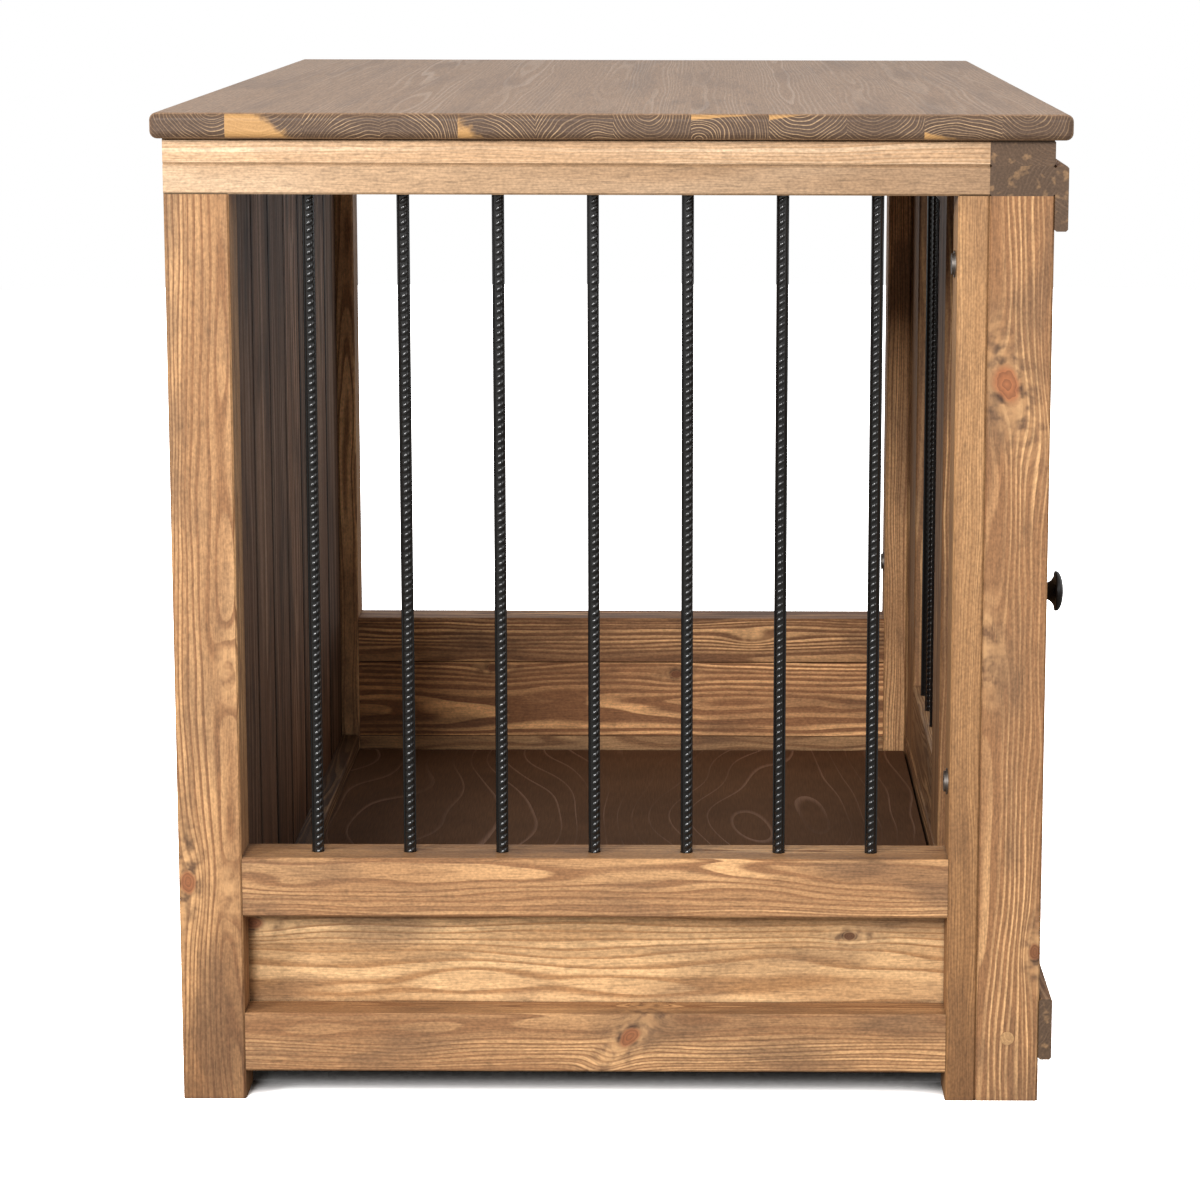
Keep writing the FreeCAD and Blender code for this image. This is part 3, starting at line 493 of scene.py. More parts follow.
def timber(name, node, figure, shift, knots=(), gloss=PINE_GLOSS):
    """Material of one timber: its figure, place along the tree in millimetres, knots and gloss."""
    material, tree = blank_material(name)
    low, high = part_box(node)
    grain = figure.get("grain", grain_of(node))
    colours = figure["colours"]
    turn = GRAIN_TURNS[grain].to_matrix()
    middle = (low + high) / 2 / MM
    start = turn @ (-middle - Vector(figure["pith"])) + Vector((0, 0, shift))
    where = add(tree, "ShaderNodeTexCoord").outputs
    place = add(tree, "ShaderNodeMapping", {"Vector": where["Object"], "Location": start,
                                            "Rotation": GRAIN_TURNS[grain], "Scale": (1 / MM,) * 3})
    facing = add(tree, VECTOR, {0: where["Normal"], 1: GRAIN_AXES[grain]}, operation="DOT_PRODUCT")
    facing = add(tree, MATH, {0: facing.outputs["Value"]}, operation="ABSOLUTE")
    end_grain = add(tree, RANGE, {"Value": facing, "From Min": END_FACING[0], "From Max": END_FACING[1]})
    wood = add(tree, "ShaderNodeGroup", node_tree=pine)
    tree.links.new(end_grain.outputs[0], wood.inputs["End grain"])
    wood.inputs["Ring width"].default_value = figure["ring"]
    wood.inputs["Dark share"].default_value = figure["dark"]
    wood.inputs["Scuffs"].default_value = END_SCUFFS
    for socket, code in colours.items():
        wood.inputs[socket].default_value = linear(code)
    toned = add(tree, VECTOR, {0: wood.outputs["Color"], "Scale": figure["tone"]}, operation="SCALE")
    colour = toned.outputs[0]
    # Painted shade: darker towards one end of the timber in a warm tint; the mix named stain carries it
    if "painted_falloff" in figure:
        axis, begins, ends, share = figure["painted_falloff"]
        along = add(tree, "ShaderNodeSeparateXYZ", {0: where["Object"]}).outputs[axis]
        painted_falloff = add(tree, RANGE, {"Value": along, "From Min": begins, "From Max": ends})
        painted_tint = tuple(share ** power for power in PAINTED_SHADE_TINT) + (1.0,)
        stain = add(tree, MIX, {MIX_FACTOR: painted_falloff, MIX_A: linear("#ffffff"), MIX_B: painted_tint},
                    data_type="RGBA")
        colour = add(tree, VECTOR, {0: colour, 1: stain.outputs[MIX_RESULT]},
                     operation="MULTIPLY").outputs[0]
    # Painted shade along the joints of the boards, standing in for the shadow in their V-grooves
    if "painted_groove" in figure:
        reach, share = figure["painted_groove"]
        across = add(tree, "ShaderNodeSeparateXYZ", {0: where["Object"]}).outputs["Y"]
        aside = add(tree, MATH, {0: across, 1: middle.y * MM}, operation="SUBTRACT")
        aside = add(tree, MATH, {0: aside}, operation="ABSOLUTE")
        half_width = (high.y - low.y) / 2
        painted_groove = add(tree, RANGE, {"Value": aside, "From Min": half_width - reach, "From Max": half_width,
                                  "To Min": 1.0, "To Max": share})
        colour = add(tree, VECTOR, {0: colour, "Scale": painted_groove}, operation="SCALE").outputs[0]
    sums = {"Push": 0.0, "Soak": 0.0}
    grain_place = place.outputs[0]
    for right, up, size, tilt, shade in knots:
        centre = start + turn @ Vector((low.x / MM + right, middle.y, low.z / MM + up))
        branch = add(tree, "ShaderNodeGroup", node_tree=knot)
        tree.links.new(place.outputs[0], branch.inputs["Place"])
        branch.inputs["Centre"].default_value = centre
        branch.inputs["Radius"].default_value = size
        branch.inputs["Tilt"].default_value = math.radians(tilt)
        weights = {"Push": KNOT_PUSH if shade else 1.0, "Soak": KNOT_SOAK if shade else EYE_SOAK}
        for socket, total in sums.items():
            sums[socket] = add(tree, MATH, {0: branch.outputs[socket], 1: weights[socket], 2: total},
                               operation="MULTIPLY_ADD").outputs[0]
        squeezed = add(tree, MATH, {0: branch.outputs["Halo"], 1: KNOT_HALO}, operation="MULTIPLY")
        paled = add(tree, MIX, {MIX_FACTOR: squeezed, MIX_A: colour, MIX_B: linear(colours["Late wood"])},
                    data_type="RGBA")
        colour = paled.outputs[MIX_RESULT]
        if shade:
            grain_place = add(tree, VECTOR, {0: grain_place, 1: branch.outputs["Flow"]},
                              operation="ADD").outputs[0]
            disc = add(tree, MIX, {MIX_FACTOR: branch.outputs["Rings"], MIX_A: linear(KNOT_RED),
                                   MIX_B: linear(KNOT_DARK)}, data_type="RGBA")
            disc = add(tree, VECTOR, {0: disc.outputs[MIX_RESULT], "Scale": shade}, operation="SCALE")
            cover = add(tree, MATH, {0: branch.outputs["Branch"], 1: KNOT_COVER}, operation="MULTIPLY")
            body = add(tree, MIX, {MIX_FACTOR: cover, MIX_A: colour, MIX_B: disc}, data_type="RGBA")
            skinned = add(tree, MIX, {MIX_FACTOR: branch.outputs["Skin"], MIX_A: body.outputs[MIX_RESULT],
                                      MIX_B: linear(KNOT_SKIN)}, data_type="RGBA")
            colour = skinned.outputs[MIX_RESULT]
    tree.links.new(grain_place, wood.inputs["Place"])
    if knots:
        for socket, total in sums.items():
            tree.links.new(total, wood.inputs[socket])
    waxed(tree, colour, wood.outputs["Late"], wood.outputs["Height"], gloss)
    return material


def dress(node, material):
    """Gives a CAD node its finish."""
    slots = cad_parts[node].data.materials
    slots.clear()
    slots.append(material)


print("timber grain of the near sill runs along", grain_of("near_end_sill"))

# %% [markdown]
# ## The timbers of the frame and doors
#
# Where the pith lies decides the figure. Far to one side of a face it gives fine straight lines, behind
# the face it gives a calm, speckled surface, and close behind one edge it gives lines that open into
# broad flames. The timbers that face the viewer get the figure, shade and knots that they show, and the
# rest are drawn from a seeded stack of stock, so that no two are alike and every run is the same.

# %% Figure of the timbers
SEEN_FIGURES = {
    # Pith as millimetres from the timber's middle, ring width in millimetres, the share of each ring that
    # took the dark stain, tone and colours. A painted falloff is painted shade, darker towards one end:
    # axis, the places in metres where it begins and ends, and the share of the tone left at its end
    "back_leg_near": {"pith": (16, -6, 0), "ring": 2.8, "dark": 0.16, "tone": 1.10, "colours": GOLDEN,
                      "painted_falloff": ("Z", 0.42, 0.0, 0.76)},
    "back_leg_far": {"pith": (16, -6, 0), "ring": 2.8, "dark": 0.16, "tone": 1.25, "colours": GOLDEN},
    "inner_post_far": {"pith": (-60, 30, 300), "ring": 2.2, "dark": 0.14, "tone": 1.35, "colours": GOLDEN},
    "front_leg_near": {"pith": (-24, 8, 0), "ring": 2.8, "dark": 0.44, "tone": 1.08, "colours": GOLDEN},
    "inner_post_near": {"pith": (-80, 30, 300), "ring": 1.8, "dark": 0.14, "tone": 0.92, "colours": CALM,
                        "painted_falloff": ("Z", 0.65, 0.10, 0.62)},
    "near_end_top_rail": {"pith": (0, 190, 6), "ring": 16.0, "dark": 0.10, "tone": 0.86, "colours": BLEACHED,
                          "painted_falloff": ("X", -0.30, 0.30, 0.50)},
    "near_end_upper_lath": {"pith": (0, 18, -120), "ring": 2.1, "dark": 0.06, "tone": 1.0,
                            "colours": BLEACHED, "painted_falloff": ("X", -0.30, 0.30, 0.72)},
    "near_end_sill": {"pith": (0, 4, 14), "ring": 2.2, "dark": 0.14, "tone": 1.10, "colours": GOLDEN},
    "near_end_panel": {"pith": (0, 30, -24), "ring": 4.0, "dark": 0.08, "tone": 1.05, "colours": HONEY},
    "near_end_bottom_rail": {"pith": (0, 2, 16), "ring": 2.2, "dark": 0.16, "tone": 1.02, "colours": GOLDEN},
    # Far panel and sill: high tones, partly painted light, as the lamps reach less deep into the crate
    "far_end_panel": {"pith": (0, 20, -8), "ring": 4.0, "dark": 0.34, "tone": 2.25, "colours": RUSSET,
                      "painted_falloff": ("X", 0.15, -0.28, 0.68)},
    "far_end_sill": {"pith": (0, 10, -22), "ring": 2.8, "dark": 0.30, "tone": 1.55, "colours": RUSSET},
    "back_bottom_rail": {"pith": (20, 30, 10), "ring": 3.0, "dark": 0.40, "tone": 0.55, "colours": RUSSET},
}
SEEN_KNOTS = {
    # Millimetres right of and above the timber's low corner, radius, tilt in degrees, and the branch's
    # shade, which is 0 for an eye, where the saw passed short of the branch
    "back_leg_near": [(7, 171, 7.5, 0, 0.9), (40, 333, 5.0, 0, 0), (39, 163, 5.0, 0, 0)],
    "front_leg_near": [(15, 553, 11.5, 22, 1.1), (44, 118, 5.5, 0, 0.6), (3, 352, 8.0, 0, 0)],
    "near_end_panel": [(463, 61, 4.2, 0, 0.32), (4, 70, 6.0, 0, 0.8)],
    "near_end_bottom_rail": [(308, 28, 7.5, 45, 0.86)],
    "far_end_panel": [(137, 78, 4.5, 0, 0.6), (324, 72, 5.0, 0, 0.6)],
    "far_end_sill": [(414, 25, 5.0, 0, 0)],
}
PITH_REACH = 70.0
RING_RANGE = (2.2, 4.0)
DARK_RANGE = (0.15, 0.40)
TONE_RANGE = (0.80, 1.0)
ALONG_RANGE = 4000.0
STOCK_SEED = 14
OTHER_FINISHES = ("table_top", "floor_board", "leg_plugs", "assembly_bolts", "outer_door_knob")

stock = random.Random(STOCK_SEED)
timbers = [node for node in sorted(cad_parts) if node not in OTHER_FINISHES
           and "bar_" not in node and not node.endswith("_bars") and not node.startswith("back_board")]
for node in timbers:
    drawn_pith = tuple(stock.uniform(-PITH_REACH, PITH_REACH) for _ in range(3))
    drawn = {"pith": drawn_pith, "ring": stock.uniform(*RING_RANGE), "dark": stock.uniform(*DARK_RANGE),
             "tone": stock.uniform(*TONE_RANGE), "colours": GOLDEN}
    shift = stock.uniform(0, ALONG_RANGE)
    figure = SEEN_FIGURES.get(node, drawn)
    dress(node, timber("stained_pine_" + node, node, figure, shift, SEEN_KNOTS.get(node, ())))
print(len(timbers), "timbers in stained pine,", sum(len(k) for k in SEEN_KNOTS.values()), "knots and eyes")

# %% [markdown]
# ## The boarded back
#
# The tongued boards took a darker, greyer stain than the frame, with painted shade towards the foot and
# in the joints. They are the same pine, so the same rings serve, with dark colours.

# %% Dark boards
DARK = {"Early wood": "#84624c", "Late wood": "#c9a78c", "Deep stain": "#3f2d22",
        "End field": "#35271e", "End line": "#4c3a2c"}
BOARD_PITH_DEEP, BOARD_PITH_ASIDE = (20, 60), (-50, 50)
BOARD_RINGS = (5.0, 12.0)
BOARD_TONES = (0.75, 1.60)
BOARD_GLOSS = {"roughness": (0.60, 0.52), "specular": 0.12}
# Painted shade, darker towards the foot of the boards
BOARD_PAINTED_FALLOFF = ("Z", 0.50, 0.05, 0.22)
# How far the painted shade of a joint reaches, and the share of the tone left in the joint
BOARD_PAINTED_GROOVE = (16 * MM, 0.15)
boards = sorted(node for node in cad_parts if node.startswith("back_board"))
for node in boards:
    drawn_pith = (stock.uniform(*BOARD_PITH_DEEP), stock.uniform(*BOARD_PITH_ASIDE), 0)
    figure = {"pith": drawn_pith, "ring": stock.uniform(*BOARD_RINGS), "dark": stock.uniform(*DARK_RANGE),
              "tone": stock.uniform(*BOARD_TONES), "colours": DARK, "grain": "Z", "painted_falloff": BOARD_PAINTED_FALLOFF,
              "painted_groove": BOARD_PAINTED_GROOVE}
    shift = stock.uniform(0, ALONG_RANGE)
    dress(node, timber("dark_stained_pine_" + node, node, figure, shift, gloss=BOARD_GLOSS))
print(len(boards), "dark boards")

# %% [markdown]
# ## The glued top
#
# The top is glued up from pine strips, each with its own heart, so the rings break off at every joint.
# One material does for all of them: the strip's number, counted across the top, draws a pith and a shift
# along the grain for that strip from White Noise. The dark stain leaves faint pale lines on the face and
# clear arcs on the sawn end, where a few strips also kept bare wedges that the stain ran off.

# %% Material of the top
STRIP_WIDTH = 56.7
FIRST_JOINT = 47.5
TOP_PITH_ACROSS, TOP_PITH_DEEP = 26.0, 66.0
TOP_RING = 2.3
TOP_DARK_SHARE = 0.40
TOP_STRAIGHTNESS = 3.0
TOP_COLOURS = {"Early wood": "#9b7a5e", "Late wood": "#aa886a", "Deep stain": "#83664f",
               "End field": "#574437", "End line": "#cfab82"}
BARE_WOOD = "#c3955f"
BARE_WEDGES = {
    # Number of the strip, and the share of its width left bare at the bottom and at the top
    0: (0.95, 0.45),
    3: (0.33, 0.03),
    6: (-3.0, 1.0),
    7: (-1.9, 0.65),
    9: (0.5, -0.9),
}
TOP_ROUGHNESS = (0.50, 0.42)
TOP_SPECULAR = 0.22
TOP_END_FACING = (0.35, 0.75)

low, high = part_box("table_top")
back_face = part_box("back_leg_near")[0].x
top_wood, tree = blank_material("dark_stained_glued_pine")
where = add(tree, "ShaderNodeTexCoord").outputs
origin = Vector((back_face + FIRST_JOINT * MM, low.y, low.z))
counted = add(tree, "ShaderNodeMapping", {"Vector": where["Object"], "Location": -origin / MM,
                                          "Scale": (1 / MM,) * 3})
part = add(tree, "ShaderNodeSeparateXYZ", {0: counted}).outputs
strips = add(tree, MATH, {0: part["X"], 1: STRIP_WIDTH}, operation="DIVIDE")
number = add(tree, MATH, {0: strips}, operation="FLOOR")
share = add(tree, MATH, {0: strips}, operation="FRACT")
draw = add(tree, "ShaderNodeTexWhiteNoise", {"W": number}, noise_dimensions="1D")
luck = add(tree, "ShaderNodeSeparateColor", {0: draw.outputs["Color"]}).outputs
inside = add(tree, MATH, {0: share, 1: STRIP_WIDTH, 2: -STRIP_WIDTH / 2}, operation="MULTIPLY_ADD")
pith_x = add(tree, RANGE, {"Value": luck["Red"], "To Min": -TOP_PITH_ACROSS, "To Max": TOP_PITH_ACROSS})
pith_z = add(tree, RANGE, {"Value": luck["Green"], "To Min": -TOP_PITH_DEEP, "To Max": TOP_PITH_DEEP})
drawn_out = add(tree, MATH, {0: part["Y"], 1: TOP_STRAIGHTNESS}, operation="DIVIDE")
shift = add(tree, MATH, {0: luck["Blue"], 1: ALONG_RANGE, 2: drawn_out}, operation="MULTIPLY_ADD")
from_pith_x = add(tree, MATH, {0: inside, 1: pith_x}, operation="ADD")
from_pith_z = add(tree, MATH, {0: part["Z"], 1: pith_z}, operation="ADD")
place = add(tree, "ShaderNodeCombineXYZ", {"X": from_pith_x, "Y": from_pith_z, "Z": shift})
facing = add(tree, VECTOR, {0: where["Normal"], 1: (0, 1, 0)}, operation="DOT_PRODUCT")
facing = add(tree, MATH, {0: facing.outputs["Value"]}, operation="ABSOLUTE")
end_grain = add(tree, RANGE, {"Value": facing, "From Min": TOP_END_FACING[0],
                              "From Max": TOP_END_FACING[1]})
rings = add(tree, "ShaderNodeGroup", node_tree=pine)
tree.links.new(place.outputs[0], rings.inputs["Place"])
tree.links.new(end_grain.outputs[0], rings.inputs["End grain"])
rings.inputs["Ring width"].default_value = TOP_RING
rings.inputs["Dark share"].default_value = TOP_DARK_SHARE
for socket, code in TOP_COLOURS.items():
    rings.inputs[socket].default_value = linear(code)
print("top of", math.ceil((high.x - low.x) / MM / STRIP_WIDTH), "glued strips")

# %% Bare wedges on the near end, and the top's wax
WANDER_SIZE, WANDER_REACH = 7.0, 0.36
RAW_PORES, RAW_SHADES = (0.6, 1.8), (0.78, 1.15)
BARE_EDGE, BARE_COVER = 0.14, 0.92

colour = rings.outputs["Color"]
near_end = add(tree, MATH, {0: part["Y"], 1: STRIP_WIDTH}, operation="LESS_THAN")
sawn = add(tree, MATH, {0: end_grain, 1: near_end}, operation="MULTIPLY")
level = add(tree, MATH, {0: part["Z"], 1: (high.z - low.z) / MM}, operation="DIVIDE")
wander_place = add(tree, VECTOR, {0: counted, "Scale": 1 / WANDER_SIZE}, operation="SCALE")
wander = add(tree, NOISE, {"Vector": wander_place, "Scale": 1.0, "Detail": 3.0})
wander = add(tree, MATH, {0: wander, 1: WANDER_REACH, 2: -WANDER_REACH / 2}, operation="MULTIPLY_ADD")
pores = add(tree, RANGE, {"Value": rings.outputs["Height"], "From Min": RAW_PORES[0],
                          "From Max": RAW_PORES[1], "To Min": RAW_SHADES[0], "To Max": RAW_SHADES[1]})
raw = add(tree, VECTOR, {0: linear(BARE_WOOD)[:3], "Scale": pores}, operation="SCALE")
for strip, (bottom, top) in BARE_WEDGES.items():
    edge = add(tree, MATH, {0: level, 1: top - bottom, 2: bottom}, operation="MULTIPLY_ADD")
    edge = add(tree, MATH, {0: edge, 1: wander}, operation="ADD")
    depth = add(tree, MATH, {0: edge, 1: share}, operation="SUBTRACT")
    bare = add(tree, RANGE, {"Value": depth, "From Max": BARE_EDGE, "To Max": BARE_COVER})
    here = add(tree, MATH, {0: number, 1: float(strip), 2: 0.5}, operation="COMPARE")
    bare = add(tree, MATH, {0: bare, 1: here}, operation="MULTIPLY")
    bare = add(tree, MATH, {0: bare, 1: sawn}, operation="MULTIPLY")
    wedge = add(tree, MIX, {MIX_FACTOR: bare, MIX_A: colour, MIX_B: raw}, data_type="RGBA")
    colour = wedge.outputs[MIX_RESULT]
gloss = add(tree, RANGE, {"Value": rings.outputs["Late"], "To Min": TOP_ROUGHNESS[0],
                          "To Max": TOP_ROUGHNESS[1]})
relief = add(tree, "ShaderNodeBump", {"Height": rings.outputs["Height"], "Strength": PINE_BUMP,
                                      "Distance": PINE_RELIEF})
shader = add(tree, "ShaderNodeBsdfPrincipled", {"Base Color": colour, "Roughness": gloss,
                                                "Normal": relief, "Specular IOR Level": TOP_SPECULAR})
add(tree, "ShaderNodeOutputMaterial", {"Surface": shader})
print(len(BARE_WEDGES), "strips with bare wood on the sawn end")

# %% [markdown]
# ## The rounded top
#
# A glued top is sanded round along its edges, and the highlight on that round tells the eye how soft it
# is. The CAD top keeps a small round, so the top is made once more in its place: a box of the same size
# whose edges Bevel rounds over in a few steps.

# %% Rounded top
TOP_ROUND = 5.5 * MM
TOP_ROUND_STEPS = 5
shape = bmesh.new()
bmesh.ops.create_cube(shape, size=1.0)
bmesh.ops.scale(shape, vec=high - low, verts=shape.verts)
bmesh.ops.translate(shape, vec=(low + high) / 2, verts=shape.verts)
bmesh.ops.bevel(shape, geom=shape.edges[:], offset=TOP_ROUND, segments=TOP_ROUND_STEPS, profile=0.5,
                affect="EDGES")
top_mesh = bpy.data.meshes.new("rounded_top")
shape.to_mesh(top_mesh)
shape.free()
top_mesh.materials.append(top_wood)
top_piece = put("rounded_top", top_mesh)
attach(top_piece, "crate_frame")
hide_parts("table_top")
print("top rounded by", TOP_ROUND / MM, "mm,", len(top_mesh.polygons), "faces")

# %% [markdown]
# ## The plywood floor
#
# Plywood's face is peeled off the log round and round, so its rings are not straight lines but wide
# contours, like a map of low hills. That is just what a slow noise cut into levels looks like. The dark
# stain leaves each contour as a thin pale line with a soft side.

# %% Stained plywood
HILLS = (170.0, 420.0)
LEVELS = 10.0
SLOPE = 1 / 280.0
CONTOUR = (0.88, 0.98)
CLEAR_LINES = (0.36, 0.58)
PLY_FIELD, PLY_LINE, PLY_DEEP = "#79563c", "#93705a", "#5a3f2b"
PLY_PORES, PLY_SHADES = (0.3, 0.7), (0.82, 1.12)
PLY_GLOSS = {"roughness": (0.78, 0.70), "specular": 0.12}
PLY_GRAIN = (1.2, 26.0)
PLY_CLOUD = 90.0
PLY_PATCH = (120.0, 240.0)

plywood, tree = blank_material("dark_stained_plywood")
low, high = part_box("floor_board")
where = add(tree, "ShaderNodeTexCoord").outputs
place = add(tree, "ShaderNodeMapping", {"Vector": where["Object"], "Location": -low / MM,
                                        "Scale": (1 / MM,) * 3})
hill_place = add(tree, VECTOR, {0: place, 1: (1 / HILLS[0], 1 / HILLS[1], 0)}, operation="MULTIPLY")
hills = add(tree, NOISE, {"Vector": hill_place, "Scale": 1.0, "Detail": 0.8})
part = add(tree, "ShaderNodeSeparateXYZ", {0: place}).outputs
tilted = add(tree, MATH, {0: part["X"], 1: SLOPE, 2: hills}, operation="MULTIPLY_ADD")
levels = add(tree, MATH, {0: tilted, 1: LEVELS}, operation="MULTIPLY")
step = add(tree, MATH, {0: levels}, operation="FRACT")
soft_side = add(tree, RANGE, {"Value": step, "From Min": CONTOUR[0], "From Max": CONTOUR[1]},
                interpolation_type="SMOOTHSTEP")
grain_place = add(tree, VECTOR, {0: place, 1: (1 / PLY_GRAIN[0], 1 / PLY_GRAIN[1], 1)},
                  operation="MULTIPLY")
grain = add(tree, NOISE, {"Vector": grain_place, "Scale": 1.0, "Detail": 2.0})
cloud_place = add(tree, VECTOR, {0: place, "Scale": 1 / PLY_CLOUD}, operation="SCALE")
cloud = add(tree, NOISE, {"Vector": cloud_place, "Scale": 1.0, "Detail": 2.0})
clouded = add(tree, MIX, {MIX_FACTOR: cloud, MIX_A: linear(PLY_FIELD), MIX_B: linear(PLY_DEEP)},
              data_type="RGBA")
patch_place = add(tree, VECTOR, {0: place, 1: (1 / PLY_PATCH[0], 1 / PLY_PATCH[1], 0)},
                  operation="MULTIPLY")
patch = add(tree, NOISE, {"Vector": patch_place, "Scale": 1.0, "Detail": 1.0})
clear = add(tree, RANGE, {"Value": patch, "From Min": CLEAR_LINES[0], "From Max": CLEAR_LINES[1]})
line = add(tree, MATH, {0: soft_side, 1: clear}, operation="MULTIPLY")
lined = add(tree, MIX, {MIX_FACTOR: line, MIX_A: clouded.outputs[MIX_RESULT], MIX_B: linear(PLY_LINE)},
            data_type="RGBA")
pores = add(tree, RANGE, {"Value": grain, "From Min": PLY_PORES[0], "From Max": PLY_PORES[1],
                          "To Min": PLY_SHADES[0], "To Max": PLY_SHADES[1]})
veneer = add(tree, VECTOR, {0: lined.outputs[MIX_RESULT], "Scale": pores}, operation="SCALE")
waxed(tree, veneer.outputs[0], soft_side.outputs[0], grain.outputs[0], PLY_GLOSS)
dress("floor_board", plywood)
print("plywood floor", tuple(round(side / MM) for side in high - low), "mm")

# %% [markdown]
# ## Plugs and bolts
#
# The plugs are short dowels that show their end grain and took less stain than the leg round them, so
# they are the same pine in paler colours. The connecting bolts are dull zinc: a grey metal with a soft,
# wide mirror and a slightly cloudy polish, as barrel plating leaves it.

# %% Plugs and bolts
PALE = {"Early wood": "#b58a5f", "Late wood": "#cfa678", "Deep stain": "#8f6a48",
        "End field": "#a98259", "End line": "#bd9568"}
plug_figure = {"pith": (9, 0, 7), "ring": 2.2, "dark": 0.3, "tone": 1.0, "colours": PALE, "grain": "Y"}
dress("leg_plugs", timber("pale_pine_plugs", "leg_plugs", plug_figure, 0))

ZINC_GREY = "#77706a"
ZINC_CLOUD = 3 * MM
ZINC_ROUGHNESS = (0.42, 0.60)
zinc = bpy.data.materials.new("zinc_plated_steel")
zinc.use_nodes = True
tree = zinc.node_tree
where = add(tree, "ShaderNodeTexCoord").outputs
cloudy = add(tree, NOISE, {"Vector": where["Object"], "Scale": 1 / ZINC_CLOUD, "Detail": 3.0})
polish = add(tree, RANGE, {"Value": cloudy, "To Min": ZINC_ROUGHNESS[0], "To Max": ZINC_ROUGHNESS[1]})
plating = tree.nodes["Principled BSDF"].inputs
tree.links.new(polish.outputs[0], plating["Roughness"])
plating["Base Color"].default_value = linear(ZINC_GREY)
plating["Metallic"].default_value = 1.0
dress("assembly_bolts", zinc)
print("plugs and bolts dressed")

# %% [markdown]
# ## Ribbed steel bars
#
# Reinforcing bar is rolled hot between two rollers, which press slanting, crescent-shaped ribs into each
# half of it and leave a straight seam on either side where the rollers meet. A screw thread or a bump
# map would not give that broken outline against the white. The rib is one small swept arc, so Geometry
# Nodes lays it along the bar on both halves, half a step apart, and sets a bar on each foot point. The
# bars were cut from stock and stand as they fell, so each is turned by its own seeded angle.

# %% Ribbed bars as a node tree
BAR_SIDES = 18
RIB_POINTS = 7
RIB_SIDES = 8
RIB_ARC = math.radians(158)
RIB_START = math.radians(270) - RIB_ARC / 2

bar_tree = bpy.data.node_groups.new("ribbed_bars", "GeometryNodeTree")
BAR_INPUTS = {
    "Feet": "NodeSocketGeometry", "Length": "NodeSocketFloat", "Core radius": "NodeSocketFloat",
    "Rib reach": "NodeSocketFloat", "Rib thickness": "NodeSocketFloat", "Rib pitch": "NodeSocketFloat",
    "Rib rise": "NodeSocketFloat", "Seam width": "NodeSocketFloat", "Turn spread": "NodeSocketFloat",
    "Turn seed": "NodeSocketInt", "Steel": "NodeSocketMaterial",
}
bar_sockets = {}
for name, kind in BAR_INPUTS.items():
    bar_sockets[name] = bar_tree.interface.new_socket(name, in_out="INPUT", socket_type=kind).identifier
bar_tree.interface.new_socket("Bars", in_out="OUTPUT", socket_type="NodeSocketGeometry")

entry = add(bar_tree, "NodeGroupInput").outputs
top = add(bar_tree, "ShaderNodeCombineXYZ", {"Z": entry["Length"]})
axis = add(bar_tree, "GeometryNodeCurvePrimitiveLine", {"End": top})
outline = add(bar_tree, "GeometryNodeCurvePrimitiveCircle", {"Resolution": BAR_SIDES,
                                                             "Radius": entry["Core radius"]})
core = add(bar_tree, "GeometryNodeCurveToMesh", {"Curve": axis, "Profile Curve": outline,
                                                 "Fill Caps": True})

crest = add(bar_tree, MATH, {0: entry["Rib reach"], 1: entry["Rib thickness"]}, operation="SUBTRACT")
arc = add(bar_tree, "GeometryNodeCurveArc", {"Resolution": RIB_POINTS, "Radius": crest,
                                             "Start Angle": RIB_START, "Sweep Angle": RIB_ARC})
along = add(bar_tree, "GeometryNodeSplineParameter").outputs["Factor"]
climb = add(bar_tree, MATH, {0: along, 1: entry["Rib rise"]}, operation="MULTIPLY")
lift = add(bar_tree, "ShaderNodeCombineXYZ", {"Z": climb})
slanted = add(bar_tree, "GeometryNodeSetPosition", {"Geometry": arc, "Offset": lift})
half_turn = add(bar_tree, MATH, {0: along, 1: math.pi}, operation="MULTIPLY")
hump = add(bar_tree, MATH, {0: half_turn}, operation="SINE")
crescent = add(bar_tree, MATH, {0: hump, 1: 0.5}, operation="POWER")
section = add(bar_tree, "GeometryNodeCurvePrimitiveCircle", {"Resolution": RIB_SIDES,
                                                             "Radius": entry["Rib thickness"]})
rib = add(bar_tree, "GeometryNodeCurveToMesh", {"Curve": slanted, "Profile Curve": section,
                                                "Scale": crescent})

room = add(bar_tree, MATH, {0: entry["Length"], 1: entry["Rib rise"]}, operation="SUBTRACT")
steps = add(bar_tree, MATH, {0: room, 1: entry["Rib pitch"]}, operation="DIVIDE")
step = add(bar_tree, "ShaderNodeCombineXYZ", {"Z": entry["Rib pitch"]})
ladder = add(bar_tree, "GeometryNodeMeshLine", {"Count": steps, "Offset": step})
half = add(bar_tree, "GeometryNodeInstanceOnPoints", {"Points": ladder, "Instance": rib})
half_step = add(bar_tree, VECTOR, {0: step, "Scale": 0.5}, operation="SCALE")
other_half = add(bar_tree, "GeometryNodeTransform", {"Geometry": half, "Translation": half_step,
                                                     "Rotation": Euler((0, 0, math.pi))})
rolled = add(bar_tree, "GeometryNodeJoinGeometry")
for piece in (other_half, half, core):
    bar_tree.links.new(piece.outputs[0], rolled.inputs[0])
smooth = add(bar_tree, "GeometryNodeSetShadeSmooth", {"Geometry": rolled})

